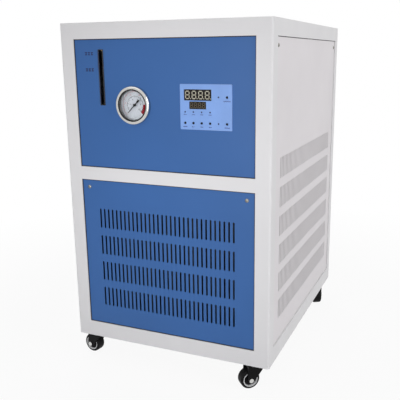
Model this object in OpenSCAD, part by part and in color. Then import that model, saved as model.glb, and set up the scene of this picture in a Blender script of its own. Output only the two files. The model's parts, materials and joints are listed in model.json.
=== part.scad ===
/* [Cabinet] */
// Width of the cabinet
body_w = 400; // [380:1:520]
// Depth of the cabinet, from its front plane to its back plane
body_d = 490; // [480:1:620]
// Height of the cabinet above the castors
body_h = 600; // [596:1:760]
// Outer radius of the folded upright corners
corner_r = 4; // [2:0.5:8]
// Thickness of the frame's sheet steel
frame_t = 1.5; // [1:0.1:2]
// Width of the upright stiles on the front and the rear
stile_w = 28; // [24:0.5:36]
// Height of the rail over the windows
top_rail_h = 28; // [22:0.5:36]
// Height of the rail between the two front windows
mid_rail_h = 24; // [18:0.5:32]
// Height of the rail under the windows
bottom_rail_h = 30.5; // [24:0.5:38]
// Height of the lower front window
lower_window_h = 288.5; // [284:0.5:300]
// Width of the strips beside the side windows and round the top one
strip_w = 25; // [20:0.5:32]
// Width of the ring that the castors are bolted to, round the bottom
base_ring_w = 60; // [56:1:70]
// Width of the ledge that a panel lies on
ledge_w = 18; // [17.5:0.5:22]

/* [Panels] */
// Thickness of the inset panels
panel_t = 1.2; // [0.8:0.1:2]
// How far the panels lie behind the face of the frame
recess = 2; // [1:0.1:4]
// Gap between a panel and its window
panel_gap = 1; // [0.5:0.1:2]
// Width of a cooling slot
slot_w = 3.3; // [2:0.1:5]
// Length of a cooling slot
slot_len = 37.4; // [20:0.1:44]
// Distance between neighbouring slots
slot_pitch = 8.66; // [7:0.01:12]
// Distance between rows of slots
row_pitch = 52.4; // [46:0.1:54]
// Height of the lowest row on the front, above the cabinet's bottom
front_row_z = 88; // [72:0.5:100]
// How far the front block of slots lies to the right of the middle
front_slot_x = -1.2; // [-6:0.1:6]
// Height of the lowest row on the sides
side_row_z = 91.5; // [72:0.5:100]
// Height of the lowest row on the rear
rear_row_z = 140.4; // [134:0.1:146]
// Width that the slots take on the front and the rear
slots_across = 272; // [200:1:280]
// Depth that the slots take on each side
slots_along = 376; // [200:1:384]
// Radius of a panel screw's head
screw_head_r = 3.4; // [2.5:0.1:4.5]
// Radius of a panel screw's shank
screw_r = 1.9; // [1:0.1:2.3]
// Distance of the panel screws from the window's side edge
screw_in_x = 15; // [8:0.5:15.5]
// Distance of the side panels' screws from the window's side edge
screw_in_y = 10; // [8:0.5:15]
// Distance of the panel screws from the window's top edge
screw_in_z = 14.5; // [8:0.5:15]

/* [Control pad] */
// Distance of the pad's middle from the cabinet's middle
pad_x = 83.7; // [70:0.1:96]
// Height of the pad's middle
pad_z = 458.2; // [440:0.1:480]
// Width of the pad
pad_w = 94.6; // [90:0.1:110]
// Height of the pad
pad_h = 76; // [74:0.1:90]
// Thickness of the pad's overlay
overlay_t = 0.8; // [0.4:0.1:1.2]
// Distance between neighbouring buttons
button_pitch = 15.3; // [12:0.1:15.8]
// Radius of a button's stem
button_r = 1.8; // [1.2:0.1:2.6]
// How far a button stands out of the overlay
button_out = 1; // [0.8:0.1:2]
// Travel of a button
button_travel = 0.5; // [0.2:0.05:0.6]
// Width of the large four-digit display
big_display_w = 49.8; // [40:0.1:52]
// Height of the large four-digit display
big_display_h = 18; // [14:0.1:19]
// Width of the small four-digit display
small_display_w = 30.4; // [24:0.1:34]
// Height of the small four-digit display
small_display_h = 12.2; // [10:0.1:12.6]
// Thickness of the circuit board
board_t = 1.6; // [1:0.1:2.4]
// Distance of the circuit board's front from the panel's back
board_back = 9; // [8:0.1:12]

/* [Gauge and level sight] */
// Distance of the gauge to the left of the cabinet's middle
gauge_left = 53.8; // [48:0.1:60]
// Height of the gauge's middle
gauge_z = 458.4; // [440:0.1:480]
// Outer radius of the gauge's case
gauge_r = 30; // [28:0.1:31]
// Outer radius of the gauge's bezel
bezel_r = 33.2; // [32:0.1:36]
// How far the bezel stands out of the cabinet's front plane
bezel_out = 6; // [5:0.1:10]
// Radius of the gauge's pressure stem
stem_r = 6.5; // [4:0.1:8]
// Distance of the level slot to the left of the cabinet's middle
level_left = 117.8; // [104:0.1:122]
// Width of the level slot
level_slot_w = 7; // [4:0.1:9]
// Height of the level slot's lower end
level_slot_z = 458; // [454:0.5:470]
// Length of the level slot
level_slot_len = 95; // [60:0.5:96]
// Outer radius of the sight tube
sight_r = 5; // [4:0.1:6]

/* [Castors] */
// Height of a castor, from the floor to the cabinet
castor_h = 52; // [48:0.5:56]
// Radius of a castor's wheel
wheel_r = 18.5; // [16:0.1:20]
// Width of a castor's tyre
wheel_w = 17.5; // [14:0.1:18]
// Distance of the wheel's axle from the swivel's axis
castor_trail = 19; // [16:0.5:22]
// Distance of the swivel's axis from the cabinet's side
castor_in_x = 30; // [28:0.5:32]
// Distance of the swivel's axis from the cabinet's front or back
castor_in_y = 30; // [28:0.5:32]
// Side of a castor's square top plate
plate_s = 40; // [36:0.5:44]
// Thickness of a castor's top plate
plate_t = 2.2; // [1.5:0.1:3]
// Radius of a castor's swivel rivet
rivet_r = 5; // [4:0.1:6]
// Radius of a castor's axle
axle_r = 3; // [2:0.1:3.5]
// Thickness of the fork's sheet
fork_t = 2; // [1.5:0.1:2.5]
// Turn of the front left castor
turn_fl = -9; // [-180:1:180]
// Turn of the front right castor
turn_fr = 43; // [-180:1:180]
// Turn of the rear left castor
turn_rl = 160; // [-180:1:180]
// Turn of the rear right castor
turn_rr = 121; // [-180:1:180]

/* [Cooling circuit] */
// Radius of the compressor's shell
comp_r = 71; // [60:0.5:72]
// Height of the compressor's shell
comp_h = 178; // [140:1:200]
// Width of the condenser's fin block
cond_w = 280; // [240:1:284]
// Depth of the condenser's fin block
cond_d = 44; // [36:1:48]
// Height of the condenser's fin block
cond_h = 272; // [260:1:276]
// Radius of the fan's blades
fan_r = 105; // [80:1:110]
// Radius of the fan motor
motor_r = 42; // [34:0.5:48]
// Length of the fan motor
motor_len = 60; // [40:1:70]
// Radius of the motor's shaft
shaft_r = 4; // [3:0.1:5]
// Number of fan blades
blades = 5; // [3:1:7]
// Radius of the refrigerant lines
line_r = 4.8; // [3:0.1:5]

/* [Coolant circuit] */
// Width of the reservoir
tank_w = 182; // [176:1:186]
// Depth of the reservoir
tank_d = 340; // [320:1:344]
// Height of the reservoir
tank_h = 232; // [228:1:236]
// Thickness of the reservoir's walls
tank_t = 1.2; // [0.8:0.1:2]
// Outer radius of the filler neck
neck_r = 26; // [20:0.5:30]
// Radius of the filler cap's rim
cap_r = 34; // [32:0.5:40]
// How far the filler cap's top stands above the cabinet
cap_out = 12; // [9:0.5:15]
// Radius of the coolant hoses
hose_r = 8; // [6:0.1:9]
// Radius of the ports' outer thread
port_r = 10.48; // [9:0.01:11]
// Length of the ports' outer thread
port_len = 16; // [12:0.5:24]
// Radius of the bore through a port
port_bore_r = 6; // [4:0.1:6.5]
// Distance from the inner end of a port to the cabinet's back plane
port_tail = 35; // [30:0.5:40]
// Height of the two coolant ports
port_z = 420; // [400:1:440]
// Distance of the outlet port to the right of the cabinet's middle
outlet_x = 35; // [30:0.5:42]
// Distance of the inlet port to the right of the cabinet's middle
inlet_x = 115; // [100:0.5:130]
// Height of the drain valve and the cable gland
drain_z = 85; // [80:0.5:96]
// Distance of the drain valve to the left of the cabinet's middle
drain_left = 60; // [58:0.5:66]
// Length of the drain valve's lever
lever_len = 48; // [36:0.5:60]
// Radius of the bore through the cable gland
gland_r = 5; // [3:0.1:6]
// Distance of the cable gland to the right of the cabinet's middle
gland_x = 120; // [100:0.5:130]

/* [Hidden] */

// Colours, as the object has them
powder_white = [0.85, 0.85, 0.86];
panel_blue = [0.26, 0.42, 0.65];
pad_blue = [0.53, 0.64, 0.91];
steel = [0.72, 0.73, 0.75];
zinc = [0.78, 0.78, 0.76];
brass = [0.76, 0.62, 0.32];
copper = [0.72, 0.42, 0.27];
black = [0.08, 0.08, 0.09];
hub_grey = [0.6, 0.61, 0.62];

// Clearances
eps = 0.01;
run_gap = 0.06;
seat_gap = 0.2;
hole_gap = 0.3;
smooth = 48;

// Windows, all given in the cabinet's own frame: x from the middle, y back from the front
// plane, z up from the cabinet's bottom
seat_depth = recess + panel_t;
window_w = body_w - 2 * stile_w;
lower_z0 = bottom_rail_h;
lower_z1 = lower_z0 + lower_window_h;
upper_z0 = lower_z1 + mid_rail_h;
upper_z1 = body_h - top_rail_h;
side_window_d = body_d - 2 * strip_w;
tall_window_h = upper_z1 - lower_z0;
tall_window_z = (upper_z1 + lower_z0) / 2;
top_window_w = body_w - 2 * (strip_w + 5);
panel_front = recess;
panel_back = seat_depth;
ledge_back = seat_depth + frame_t;
rear_panel_out = body_d - recess;
rear_panel_in = body_d - seat_depth;
rear_ledge_in = body_d - ledge_back;
frame_cut = strip_w + ledge_w + panel_gap;
cover_z0 = body_h - seat_depth;
cover_z1 = body_h - recess;

// Inside floor and shelf
tray_z0 = frame_t;
floor_z = tray_z0 + frame_t;
shelf_z0 = lower_z1 + mid_rail_h / 2;
shelf_z = shelf_z0 + frame_t;
shelf_rest_d = 24;
shelf_side = body_w / 2 - 10;

// Castors
castor_x = body_w / 2 - castor_in_x;
castor_y0 = castor_in_y;
castor_y1 = body_d - castor_in_y;
castor_turns = [turn_fl, turn_fr, turn_rl, turn_rr];
castor_spots = [[-castor_x, castor_y0], [castor_x, castor_y0], [-castor_x, castor_y1],
    [castor_x, castor_y1]];
tyre_round = 2.5;
race_t = 2.8;
race_r = 14;
fork_z1 = -plate_t - race_t - seat_gap;
fork_top_t = fork_t + 0.5;
rivet_head_r = rivet_r + 3;
rivet_head_t = 1.6;
axle_z = wheel_r - castor_h;
hub_half = wheel_w / 2 + 1;
leg_in = hub_half + seat_gap;
leg_out = leg_in + fork_t;
bolt_in = 5.5;
castor_bolt_r = 2.5;
castor_bolt_head_r = 3.8;
castor_bolt_head_h = 2.4;

// The whole object's box, which its origin stands under
function reach(turn, side) = (wheel_r - tyre_round) * abs(cos(turn + side))
    + (wheel_w / 2 - tyre_round) * abs(sin(turn + side)) + tyre_round;
castor_min_x = min([for (i = [0:3]) castor_spots[i].x - castor_trail * cos(castor_turns[i])
    - reach(castor_turns[i], 0)]);
castor_max_x = max([for (i = [0:3]) castor_spots[i].x - castor_trail * cos(castor_turns[i])
    + reach(castor_turns[i], 0)]);
castor_min_y = min([for (i = [0:3]) castor_spots[i].y - castor_trail * sin(castor_turns[i])
    - reach(castor_turns[i], 90)]);
valve_out = 38;
mid_x = (min(-body_w / 2, castor_min_x) + max(body_w / 2, castor_max_x)) / 2;
mid_y = (min(-bezel_out, castor_min_y) + body_d + max(valve_out, port_len + 3)) / 2;

// Control pad
pad_x0 = pad_x - pad_w / 2;
pad_z0 = pad_z - pad_h / 2;
overlay_front = panel_front - overlay_t;
column_x0 = pad_x0 + 9;
low_row = pad_z0 + 11.2;
mid_row = pad_z0 + 29.6;
high_row = pad_z0 + 54.9;
big_display = [column_x0 - 1.4 + big_display_w / 2, pad_z0 + 58.1];
small_display = [column_x0 + 23.5, pad_z0 + 41];
button_spots = [for (i = [0, 1, 2, 3, 5]) [column_x0 + i * button_pitch, low_row],
    [column_x0 + 5 * button_pitch, high_row]];
lamp_spots = concat([for (i = [0:3]) [column_x0 + i * button_pitch, mid_row]],
    [[column_x0 + 4 * button_pitch, low_row], [column_x0 + 4 * button_pitch, high_row]]);
lamp_r = 1.2;
board_front = panel_back + board_back;
switch_t = 3.6;
switch_s = 6;
switch_seat = 1.6;
display_front = overlay_front + 0.4;
standoff_spots = [for (x = [-1, 1]) for (z = [-1, 1])
    [pad_x + x * (pad_w / 2 + 2), pad_z + z * (pad_h / 2 - 5)]];
standoff_r = 3;
standoff_neck_r = 1.5;

// Gauge, along y
gauge_x = -gauge_left;
bezel_front = -bezel_out;
lip_t = 2;
glass_t = 2;
glass_front = bezel_front + lip_t;
case_front = glass_front + glass_t;
case_wall = 1;
case_back = 30;
case_floor = 1.5;
dial_t = 0.8;
dial_back = case_front + 9;
dial_front = dial_back - dial_t;
arbor_r = 0.75;
pointer_t = 0.8;
pointer_y = dial_front - 3.4;
pointer_zero = 225;
socket_front = dial_back + 2;
stem_len = 20;
stem_end = case_back + stem_len;
stem_drop = 18;

// Level sight, behind its slot
level_x = -level_left;
elbow_r = sight_r + 1.5;
level_y = ledge_back + hole_gap + elbow_r;
level_z0 = level_slot_z - 12;
elbow_h = 12;
elbow_bore_t = 10;
level_z1 = level_slot_z + level_slot_len + elbow_h - 1;
arm_r = 4;
sight_wall = 1.2;

// Reservoir, on the shelf
tank_x1 = -4;
tank_x0 = tank_x1 - tank_w;
tank_front_gap = 22;
tank_y0 = case_back + stem_len + tank_front_gap;
tank_y1 = tank_y0 + tank_d;
tank_z0 = shelf_z;
tank_z1 = tank_z0 + tank_h;
tank_corner = 12;
lid_t = 1.5;
lid_over = 3;
lid_z1 = tank_z1 + lid_t;
filler_in = 82;
filler = [tank_x0 + tank_w / 2, tank_y1 - filler_in];
neck_t = 2;
neck_z1 = cover_z1 + 4;
cap_z1 = body_h + cap_out;
cap_plug_d = 12;
outlet_in = hose_r + 8;
tank_outlet = [tank_x1 - outlet_in, tank_y1 - tank_corner];
drain_in = 17;
tank_drain = [-drain_left, tank_y1 - drain_in];
stub_drop = 14;
stub_wall = 2;
drain_hose_r = 6;
return_in = 32;
return_down = 45;
return_spot = [tank_y1 - return_in, tank_z1 - return_down];
stub_len = 12;

// Evaporator coil, inside the reservoir
coil_x = tank_x0 + tank_w / 2;
coil_r = 62;
coil_front_gap = 66;
coil_y = tank_y0 + coil_front_gap + coil_r;
coil_turns = 6;
coil_pitch = 20;
coil_floor_gap = 24;
coil_z0 = tank_z0 + coil_floor_gap;
coil_return_drop = 4;
coil_return_bend = 14;
coil_steps = 14;
coil_end_out = 5;
coil_top = lid_z1 + coil_end_out;
line_bend = 10;
line_z = coil_top + line_bend + 2;
coil_ends = [[coil_x + coil_r, coil_y], [coil_x, coil_y]];

// Condenser and fan, behind the lower front window
cond_y0 = 40;
cond_y1 = cond_y0 + cond_d;
cond_foot_h = 27;
cond_z0 = floor_z + cond_foot_h;
cond_plate_t = 1.5;
guide_y0 = ledge_back + panel_gap;
cond_foot_w = 9;
bend_rows = 8;
bend_low = 22;
bend_high = 26;
bend_pitch = (cond_h - bend_low - bend_high) / (bend_rows - 1);
bend_z0 = cond_z0 + bend_low;
fin_pitch = 5;
fin_groove_d = 6;
fin_groove_w = 1.8;
bend_columns = [cond_y0 + cond_d * 0.25, cond_y0 + cond_d * 0.75];
cond_stub = 6;
stub_x = -cond_w / 2 - cond_stub;
fan_z = cond_z0 + cond_h / 2;
shroud_t = 1.5;
shroud_d = 11;
plate_y1 = cond_y1 + shroud_d;
tip_gap = 5;
duct_r = fan_r + tip_gap;
duct_len = 30;
duct_end = plate_y1 + duct_len;
motor_y0 = duct_end - 2;
motor_ring_d = 10;
motor_ring_t = 4;
motor_seat = 0.05;
arm_t = 3;
arm_w = 12;
hub_r = 24;
hub_gap = 3;
hub_y0 = plate_y1 + hub_gap;
hub_d = 20;
blade_t = 1.6;
root_chord = 26;
root_pitch = 38;
tip_pitch = 24;
blade_rings = 6;
blade_steps = 6;

// Compressor, rear left on the floor
comp_side = 51;
comp_x = stub_x + comp_side;
comp_rear = 150;
comp_y = body_d - comp_rear;
comp_foot = 18;
comp_plate_t = 3;
comp_z0 = floor_z + comp_foot;
comp_foot_s = 55;
comp_stub_z = comp_z0 + comp_h * 0.7;
comp_stub = 6;
comp_stub_r = 6.5;

// Refrigerant lines, between the condenser, the compressor and the coil
liquid_out = 33;
liquid_x = stub_x - liquid_out;
gas_out = 15;
gas_x = stub_x - gas_out;
gas_ahead = 33;
gas_y = comp_y - comp_r - comp_stub - gas_ahead;
riser_rear = 50;
riser_y = body_d - riser_rear;
suction_x = coil_ends[0].x;
suction_y = max(comp_y + comp_r + comp_stub + line_bend + 1, tank_y1 + lid_over + line_r + panel_gap);
drier_gap = 36;
drier_y = cond_y1 + drier_gap;
drier_len = 80;
drier_r = 9.5;

// Pump, rear right on the floor
pump_rear = 90;
pump_y = body_d - pump_rear;
pump_axis_h = 74;
pump_z = floor_z + pump_axis_h;
volute_w = 36;
pump_x0 = outlet_x - volute_w / 2;
pump_stub = 12;
volute_r = 48;
pump_motor_r = 44;
pump_motor_len = 96;
pump_outlet_out = 8;
pump_outlet_z = pump_z + volute_r + pump_outlet_out;
pump_fin_pitch = 8;
pump_fin_t = 3;
pump_fin_d = 3;
pump_foot_w = 80;
pump_foot_t = 4;
pump_neck_w = 48;

// Turns of the coolant hoses
hose_bend = 16;
drain_bend = 10;
feed_z = tank_z0 - stub_drop - hose_bend - 4;
drain_hose_drop = 70;
tee_drop = 50;
gauge_tube_x = 16;
gauge_tube_r = 3;
gauge_tube_y = tank_y0 - 10;

// Electrical box, front right on the shelf
ebox = [115, 190, 118];
ebox_x0 = shelf_side - 5 - ebox.x;
ebox_y0 = 110;

// Rear fittings
nut_t = 7;
valve_tail = 26;
valve_boss_y = body_d + 13;
valve_r = 11;
boss_h = 17;
lever_stem_r = 2.5;
lever_t = 3;

// A plate in the x-z plane from y0 back to y1, from an outline drawn in x and z
module plate_y(y0, y1) {
    translate([0, y1, 0]) rotate([90, 0, 0]) linear_extrude(y1 - y0) children();
}

// A plate in the y-z plane from x0 to x1, from an outline drawn in y and z
module plate_x(x0, x1) {
    translate([x0, 0, 0]) rotate([90, 0, 90]) linear_extrude(x1 - x0) children();
}

// A round bar along y
module rod_y(x, z, y0, y1, r, fn = smooth) {
    translate([x, y0, z]) rotate([-90, 0, 0]) cylinder(r = r, h = y1 - y0, $fn = fn);
}

// A box from one corner to the other
module block(a, b) {
    translate(a) cube(b - a);
}

// Turns and lifts the cabinet's frame into the object's own frame, which stands on the floor
module in_frame() {
    translate([-mid_x, -mid_y, castor_h]) children();
}

function arc(c, r, a0, a1, n) = [for (i = [0:n]) c + r * [cos(a0 + (a1 - a0) * i / n),
    sin(a0 + (a1 - a0) * i / n)]];

// Outline of a rectangle with round corners
function round_rect(p, q, r, n = 5) = concat(
    arc([q.x - r, p.y + r], r, -90, 0, n), arc([q.x - r, q.y - r], r, 0, 90, n),
    arc([p.x + r, q.y - r], r, 90, 180, n), arc([p.x + r, p.y + r], r, 180, 270, n));

// Rows of upright slots round a middle
module slots(centre, across, rows, z0) {
    count = floor(across / slot_pitch) + 1;
    for (row = [0:rows - 1]) for (i = [0:count - 1])
        translate([centre + (i - (count - 1) / 2) * slot_pitch, z0 + row * row_pitch]) {
            square([slot_w, slot_len - slot_w], center = true);
            for (end = [-1, 1])
                translate([0, end * (slot_len - slot_w) / 2]) circle(r = slot_w / 2, $fn = 16);
        }
}

// Points of a run with its square corners rounded
function unit(v) = v / norm(v);
function bend(p, q, s, b, k) = let (u = unit(p - q), v = unit(s - q), c = q + b * (u + v))
    [for (i = [0:k]) c - b * (v * cos(90 * i / k) + u * sin(90 * i / k))];
// A corner's radius is limited by the legs beside it, and a middle leg is shared by two corners
function corner_b(pts, i, b) = let (last = len(pts) - 2)
    min(b, norm(pts[i] - pts[i - 1]) * (i == 1 ? 0.95 : 0.49),
        norm(pts[i + 1] - pts[i]) * (i == last ? 0.95 : 0.49));
function apart(pts) = [for (i = [0:len(pts) - 1]) if (i == 0 || norm(pts[i] - pts[max(i - 1, 0)]) > eps) pts[i]];
function bent_run(pts, b, k) = concat([pts[0]],
    [for (i = [1:len(pts) - 2]) each bend(pts[i - 1], pts[i], pts[i + 1], corner_b(pts, i, b), k)],
    [pts[len(pts) - 1]]);
function bent(pts, b, k = 4) = bent_run(apart(pts), b, k);

// A round bar along a run of points
module pipe(pts, r, sides = 8) {
    n = len(pts);
    along = [for (i = [0:n - 1]) unit(pts[min(i + 1, n - 1)] - pts[max(i - 1, 0)])];
    ring = [for (i = [0:n - 1]) let (u = unit(cross(along[i], [1, 1, 1])), v = cross(along[i], u))
        for (k = [0:sides - 1]) pts[i] + r * (u * cos(360 * k / sides) + v * sin(360 * k / sides))];
    faces = concat([[for (k = [0:sides - 1]) k]],
        [[for (k = [sides - 1:-1:0]) (n - 1) * sides + k]],
        [for (i = [0:n - 2]) for (k = [0:sides - 1]) let (a = i * sides + k,
            b = i * sides + (k + 1) % sides) each [[a, a + sides, b + sides], [a, b + sides, b]]]);
    polyhedron(points = ring, faces = faces, convexity = 8);
}

// The stepped ring behind a window: the panel's pocket and the ledge that it lies on. It is drawn
// in the window's own plane, with the cabinet's inside above it
module ledge_ring(w, h) {
    difference() {
        block([-w / 2 - frame_t, -h / 2 - frame_t, eps], [w / 2 + frame_t, h / 2 + frame_t, ledge_back]);
        block([-w / 2, -h / 2, -1], [w / 2, h / 2, seat_depth]);
        block([ledge_w - w / 2, ledge_w - h / 2, 0], [w / 2 - ledge_w, h / 2 - ledge_w, ledge_back + 1]);
    }
}

module to_front(z) {
    translate([0, 0, z]) rotate([-90, 0, 0]) children();
}

module to_rear(z) {
    translate([0, body_d, z]) rotate([90, 0, 0]) children();
}

module to_left() {
    translate([-body_w / 2, body_d / 2, tall_window_z]) rotate([90, 0, 90]) children();
}

module to_right() {
    translate([body_w / 2, body_d / 2, tall_window_z]) rotate([90, 0, -90]) children();
}

module to_top() {
    translate([0, body_d / 2, body_h]) rotate([180, 0, 0]) children();
}

// Puts something into every window, given its width and height
module in_windows(deep) {
    to_front((lower_z0 + lower_z1) / 2) window_piece(window_w, lower_z1 - lower_z0, deep);
    to_front((upper_z0 + upper_z1) / 2) window_piece(window_w, upper_z1 - upper_z0, deep);
    to_rear(tall_window_z) window_piece(window_w, tall_window_h, deep);
    to_left() window_piece(side_window_d, tall_window_h, deep);
    to_right() window_piece(side_window_d, tall_window_h, deep);
    to_top() window_piece(top_window_w, side_window_d, deep);
}

module window_piece(w, h, deep) {
    if (deep)
        ledge_ring(w, h);
    else
        block([-w / 2, -h / 2, -1], [w / 2, h / 2, frame_t + 1]);
}

// Where each panel's screws go, as a window transform and two or four corners
module screw_places() {
    screw_row(lower_z1) children();
    for (side = [-1, 1]) translate([side * body_w / 2, 0, 0]) rotate([0, 0, side * 90])
        for (y = [strip_w + screw_in_y, body_d - strip_w - screw_in_y])
            translate([side * y, 0, upper_z1 - screw_in_z]) children();
    for (side = [-1, 1]) for (z = [lower_z0 + screw_in_z, upper_z1 - screw_in_z])
        translate([side * (window_w / 2 - screw_in_x), body_d, z]) rotate([0, 0, 180]) children();
    for (side = [-1, 1]) for (y = [strip_w + screw_in_z, body_d - strip_w - screw_in_z])
        translate([side * (top_window_w / 2 - screw_in_x), y, body_h]) rotate([-90, 0, 0]) children();
}

module screw_row(z) {
    for (side = [-1, 1]) translate([side * (window_w / 2 - screw_in_x), 0, z - screw_in_z]) children();
}

// The welded cage of folded sheet that the frames and rails are parts of
module cage() {
    half = body_w / 2;
    difference() {
        union() {
            difference() {
                linear_extrude(body_h) polygon(round_rect([-half, 0], [half, body_d], corner_r));
                translate([0, 0, frame_t]) linear_extrude(body_h - 2 * frame_t)
                    polygon(round_rect([frame_t - half, frame_t], [half - frame_t, body_d - frame_t],
                        max(corner_r - frame_t, 0.5)));
                in_windows(false);
                block([base_ring_w - half, base_ring_w, -1],
                    [half - base_ring_w, body_d - base_ring_w, frame_t + 1]);
            }
            in_windows(true);
            shelf_rests();
        }
        screw_places() rod_y(0, 0, 0, ledge_back + 1, screw_r + seat_gap, 24);
        castor_bolt_places() cylinder(r = castor_bolt_r + seat_gap, h = 2 * frame_t, $fn = 24);
    }
}

// The two flanges that the middle shelf lies on
module shelf_rests() {
    side = body_w / 2 - ledge_back + 0.5;
    block([-side, frame_t, shelf_z0 - frame_t], [side, shelf_rest_d, shelf_z0]);
    block([-side, rear_ledge_in - shelf_rest_d, shelf_z0 - frame_t], [side, rear_ledge_in, shelf_z0]);
    block([-side, rear_ledge_in - frame_t, shelf_z0 - 12], [side, rear_ledge_in, shelf_z0]);
}

module slab(y0, y1) {
    block([-body_w, y0, -castor_h], [body_w, y1, 2 * body_h]);
}

module front_frame() {
    color(powder_white) in_frame() intersection() {
        cage();
        slab(-body_d, frame_cut);
    }
}

module rear_frame() {
    color(powder_white) in_frame() intersection() {
        cage();
        slab(body_d - frame_cut, 2 * body_d);
    }
}

module side_rails() {
    color(powder_white) in_frame() intersection() {
        cage();
        slab(frame_cut, body_d - frame_cut);
    }
}

// A shallow tray on the bottom ring, with turned-up edges and holes for the castor bolts
module base_tray() {
    side = body_w / 2 - ledge_back - panel_gap;
    front = ledge_back + panel_gap;
    edge_h = 14;
    color(zinc) in_frame() difference() {
        block([-side, front, tray_z0], [side, body_d - front, tray_z0 + edge_h]);
        block([frame_t - side, front + frame_t, floor_z],
            [side - frame_t, body_d - front - frame_t, body_h]);
        castor_bolt_places() cylinder(r = castor_bolt_r + seat_gap, h = 3 * frame_t, $fn = 24);
    }
}

module top_cover() {
    w = top_window_w / 2 - panel_gap;
    color(powder_white) in_frame() difference() {
        block([-w, strip_w + panel_gap, cover_z0], [w, body_d - strip_w - panel_gap, cover_z1]);
        translate([filler.x, filler.y, 0]) cylinder(r = neck_r + 1, h = 2 * body_h, $fn = smooth);
        screw_places() rod_y(0, 0, 0, ledge_back, screw_r + seat_gap, 24);
    }
}

// The shelf that carries the reservoir and the electrical box
module middle_shelf() {
    skirt = 11;
    color(zinc) in_frame() difference() {
        union() {
            block([-shelf_side, 10, shelf_z0], [shelf_side, rear_ledge_in - 2, shelf_z]);
            for (side = [-1, 1]) translate([side * (shelf_side - frame_t / 2), 0, 0])
                block([-frame_t / 2, shelf_rest_d + 6, shelf_z0 - skirt],
                    [frame_t / 2, rear_ledge_in - shelf_rest_d - 6, shelf_z0 + eps]);
        }
        shelf_hole(tank_outlet, hose_r + stub_wall);
        shelf_hole(tank_drain, drain_hose_r + stub_wall);
        shelf_hole([outlet_x, pump_y], hose_r + 2);
        shelf_hole([liquid_x, riser_y], line_r + 3);
        shelf_hole([suction_x, suction_y], line_r + 3);
    }
}

module shelf_hole(spot, r) {
    translate([spot.x, spot.y, shelf_z0 - 1]) cylinder(r = r + hole_gap, h = frame_t + 2, $fn = smooth);
}

// A side panel's outline in y and z
module side_outline() {
    difference() {
        polygon(round_rect([strip_w + panel_gap, lower_z0 + panel_gap],
            [body_d - strip_w - panel_gap, upper_z1 - panel_gap], 1.5, 3));
        slots(body_d / 2, slots_along, 6, side_row_z);
        for (y = [strip_w + screw_in_y, body_d - strip_w - screw_in_y])
            translate([y, upper_z1 - screw_in_z]) circle(r = screw_r + seat_gap, $fn = 24);
    }
}

module side_panel_left() {
    color(powder_white) in_frame() plate_x(seat_depth - body_w / 2 - panel_t, seat_depth - body_w / 2)
        side_outline();
}

module side_panel_right() {
    color(powder_white) in_frame() plate_x(body_w / 2 - seat_depth, body_w / 2 - recess) side_outline();
}

module rear_panel() {
    w = window_w / 2 - panel_gap;
    color(powder_white) in_frame() plate_y(rear_panel_in, rear_panel_out) difference() {
        polygon(round_rect([-w, lower_z0 + panel_gap], [w, upper_z1 - panel_gap], 1.5, 3));
        slots(0, slots_across, 4, rear_row_z);
        for (x = [outlet_x, inlet_x]) translate([x, port_z]) circle(r = port_r + seat_gap, $fn = smooth);
        translate([-drain_left, drain_z]) circle(r = 8 + seat_gap, $fn = smooth);
        translate([gland_x, drain_z]) circle(r = gland_r + 5 + seat_gap, $fn = smooth);
        for (side = [-1, 1]) for (z = [lower_z0 + screw_in_z, upper_z1 - screw_in_z])
            translate([side * (window_w / 2 - screw_in_x), z]) circle(r = screw_r + seat_gap, $fn = 24);
    }
}

// The plain panel over the shelf, which carries the gauge and the control pad
module front_panel_upper() {
    w = window_w / 2 - panel_gap;
    color(panel_blue) in_frame() plate_y(panel_front, panel_back) difference() {
        polygon(round_rect([-w, upper_z0 + panel_gap], [w, upper_z1 - panel_gap], 1.5, 3));
        translate([gauge_x, gauge_z]) circle(r = gauge_r + hole_gap, $fn = 64);
        translate([level_x - level_slot_w / 2, level_slot_z]) square([level_slot_w, level_slot_len]);
        pad_holes();
    }
}

// The holes for the displays, lamps and buttons
module pad_holes() {
    window_hole(big_display, big_display_w, big_display_h);
    window_hole(small_display, small_display_w, small_display_h);
    for (p = lamp_spots) translate(p) circle(r = lamp_r + seat_gap, $fn = 24);
    for (p = button_spots) translate(p) circle(r = button_r + hole_gap, $fn = 24);
}

module window_hole(middle, w, h) {
    translate(middle) square([w + 2 * seat_gap, h + 2 * seat_gap], center = true);
}

module front_panel_lower() {
    w = window_w / 2 - panel_gap;
    color(panel_blue) in_frame() plate_y(panel_front, panel_back) difference() {
        polygon(round_rect([-w, lower_z0 + panel_gap], [w, lower_z1 - panel_gap], 1.5, 3));
        slots(front_slot_x, slots_across, 4, front_row_z);
        for (side = [-1, 1]) translate([side * (window_w / 2 - screw_in_x), lower_z1 - screw_in_z])
            circle(r = screw_r + seat_gap, $fn = 24);
    }
}

// Dome-headed screws with a cross recess
module panel_screws() {
    head_h = 1.6;
    color(steel) in_frame() screw_places() difference() {
        union() {
            rod_y(0, 0, recess, ledge_back + 4, screw_r, 24);
            intersection() {
                rod_y(0, 0, recess - head_h, recess, screw_head_r, 32);
                translate([0, recess - head_h + 5, 0]) sphere(r = 5, $fn = smooth);
            }
        }
        for (turn = [0, 90]) rotate([0, turn, 0])
            block([-screw_head_r / 2, recess - head_h - 1, -0.35], [screw_head_r / 2, recess - 0.8, 0.35]);
    }
}

module control_overlay() {
    color(pad_blue) in_frame() plate_y(overlay_front, panel_front) difference() {
        polygon(round_rect([pad_x0, pad_z0], [pad_x0 + pad_w, pad_z0 + pad_h], 1.5, 3));
        pad_holes();
    }
}

// One straight bar of a digit, pointed at both ends
module digit_bar(len, t) {
    polygon([[-len / 2, 0], [t / 2 - len / 2, t / 2], [len / 2 - t / 2, t / 2], [len / 2, 0],
        [len / 2 - t / 2, -t / 2], [t / 2 - len / 2, -t / 2]]);
}

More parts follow.
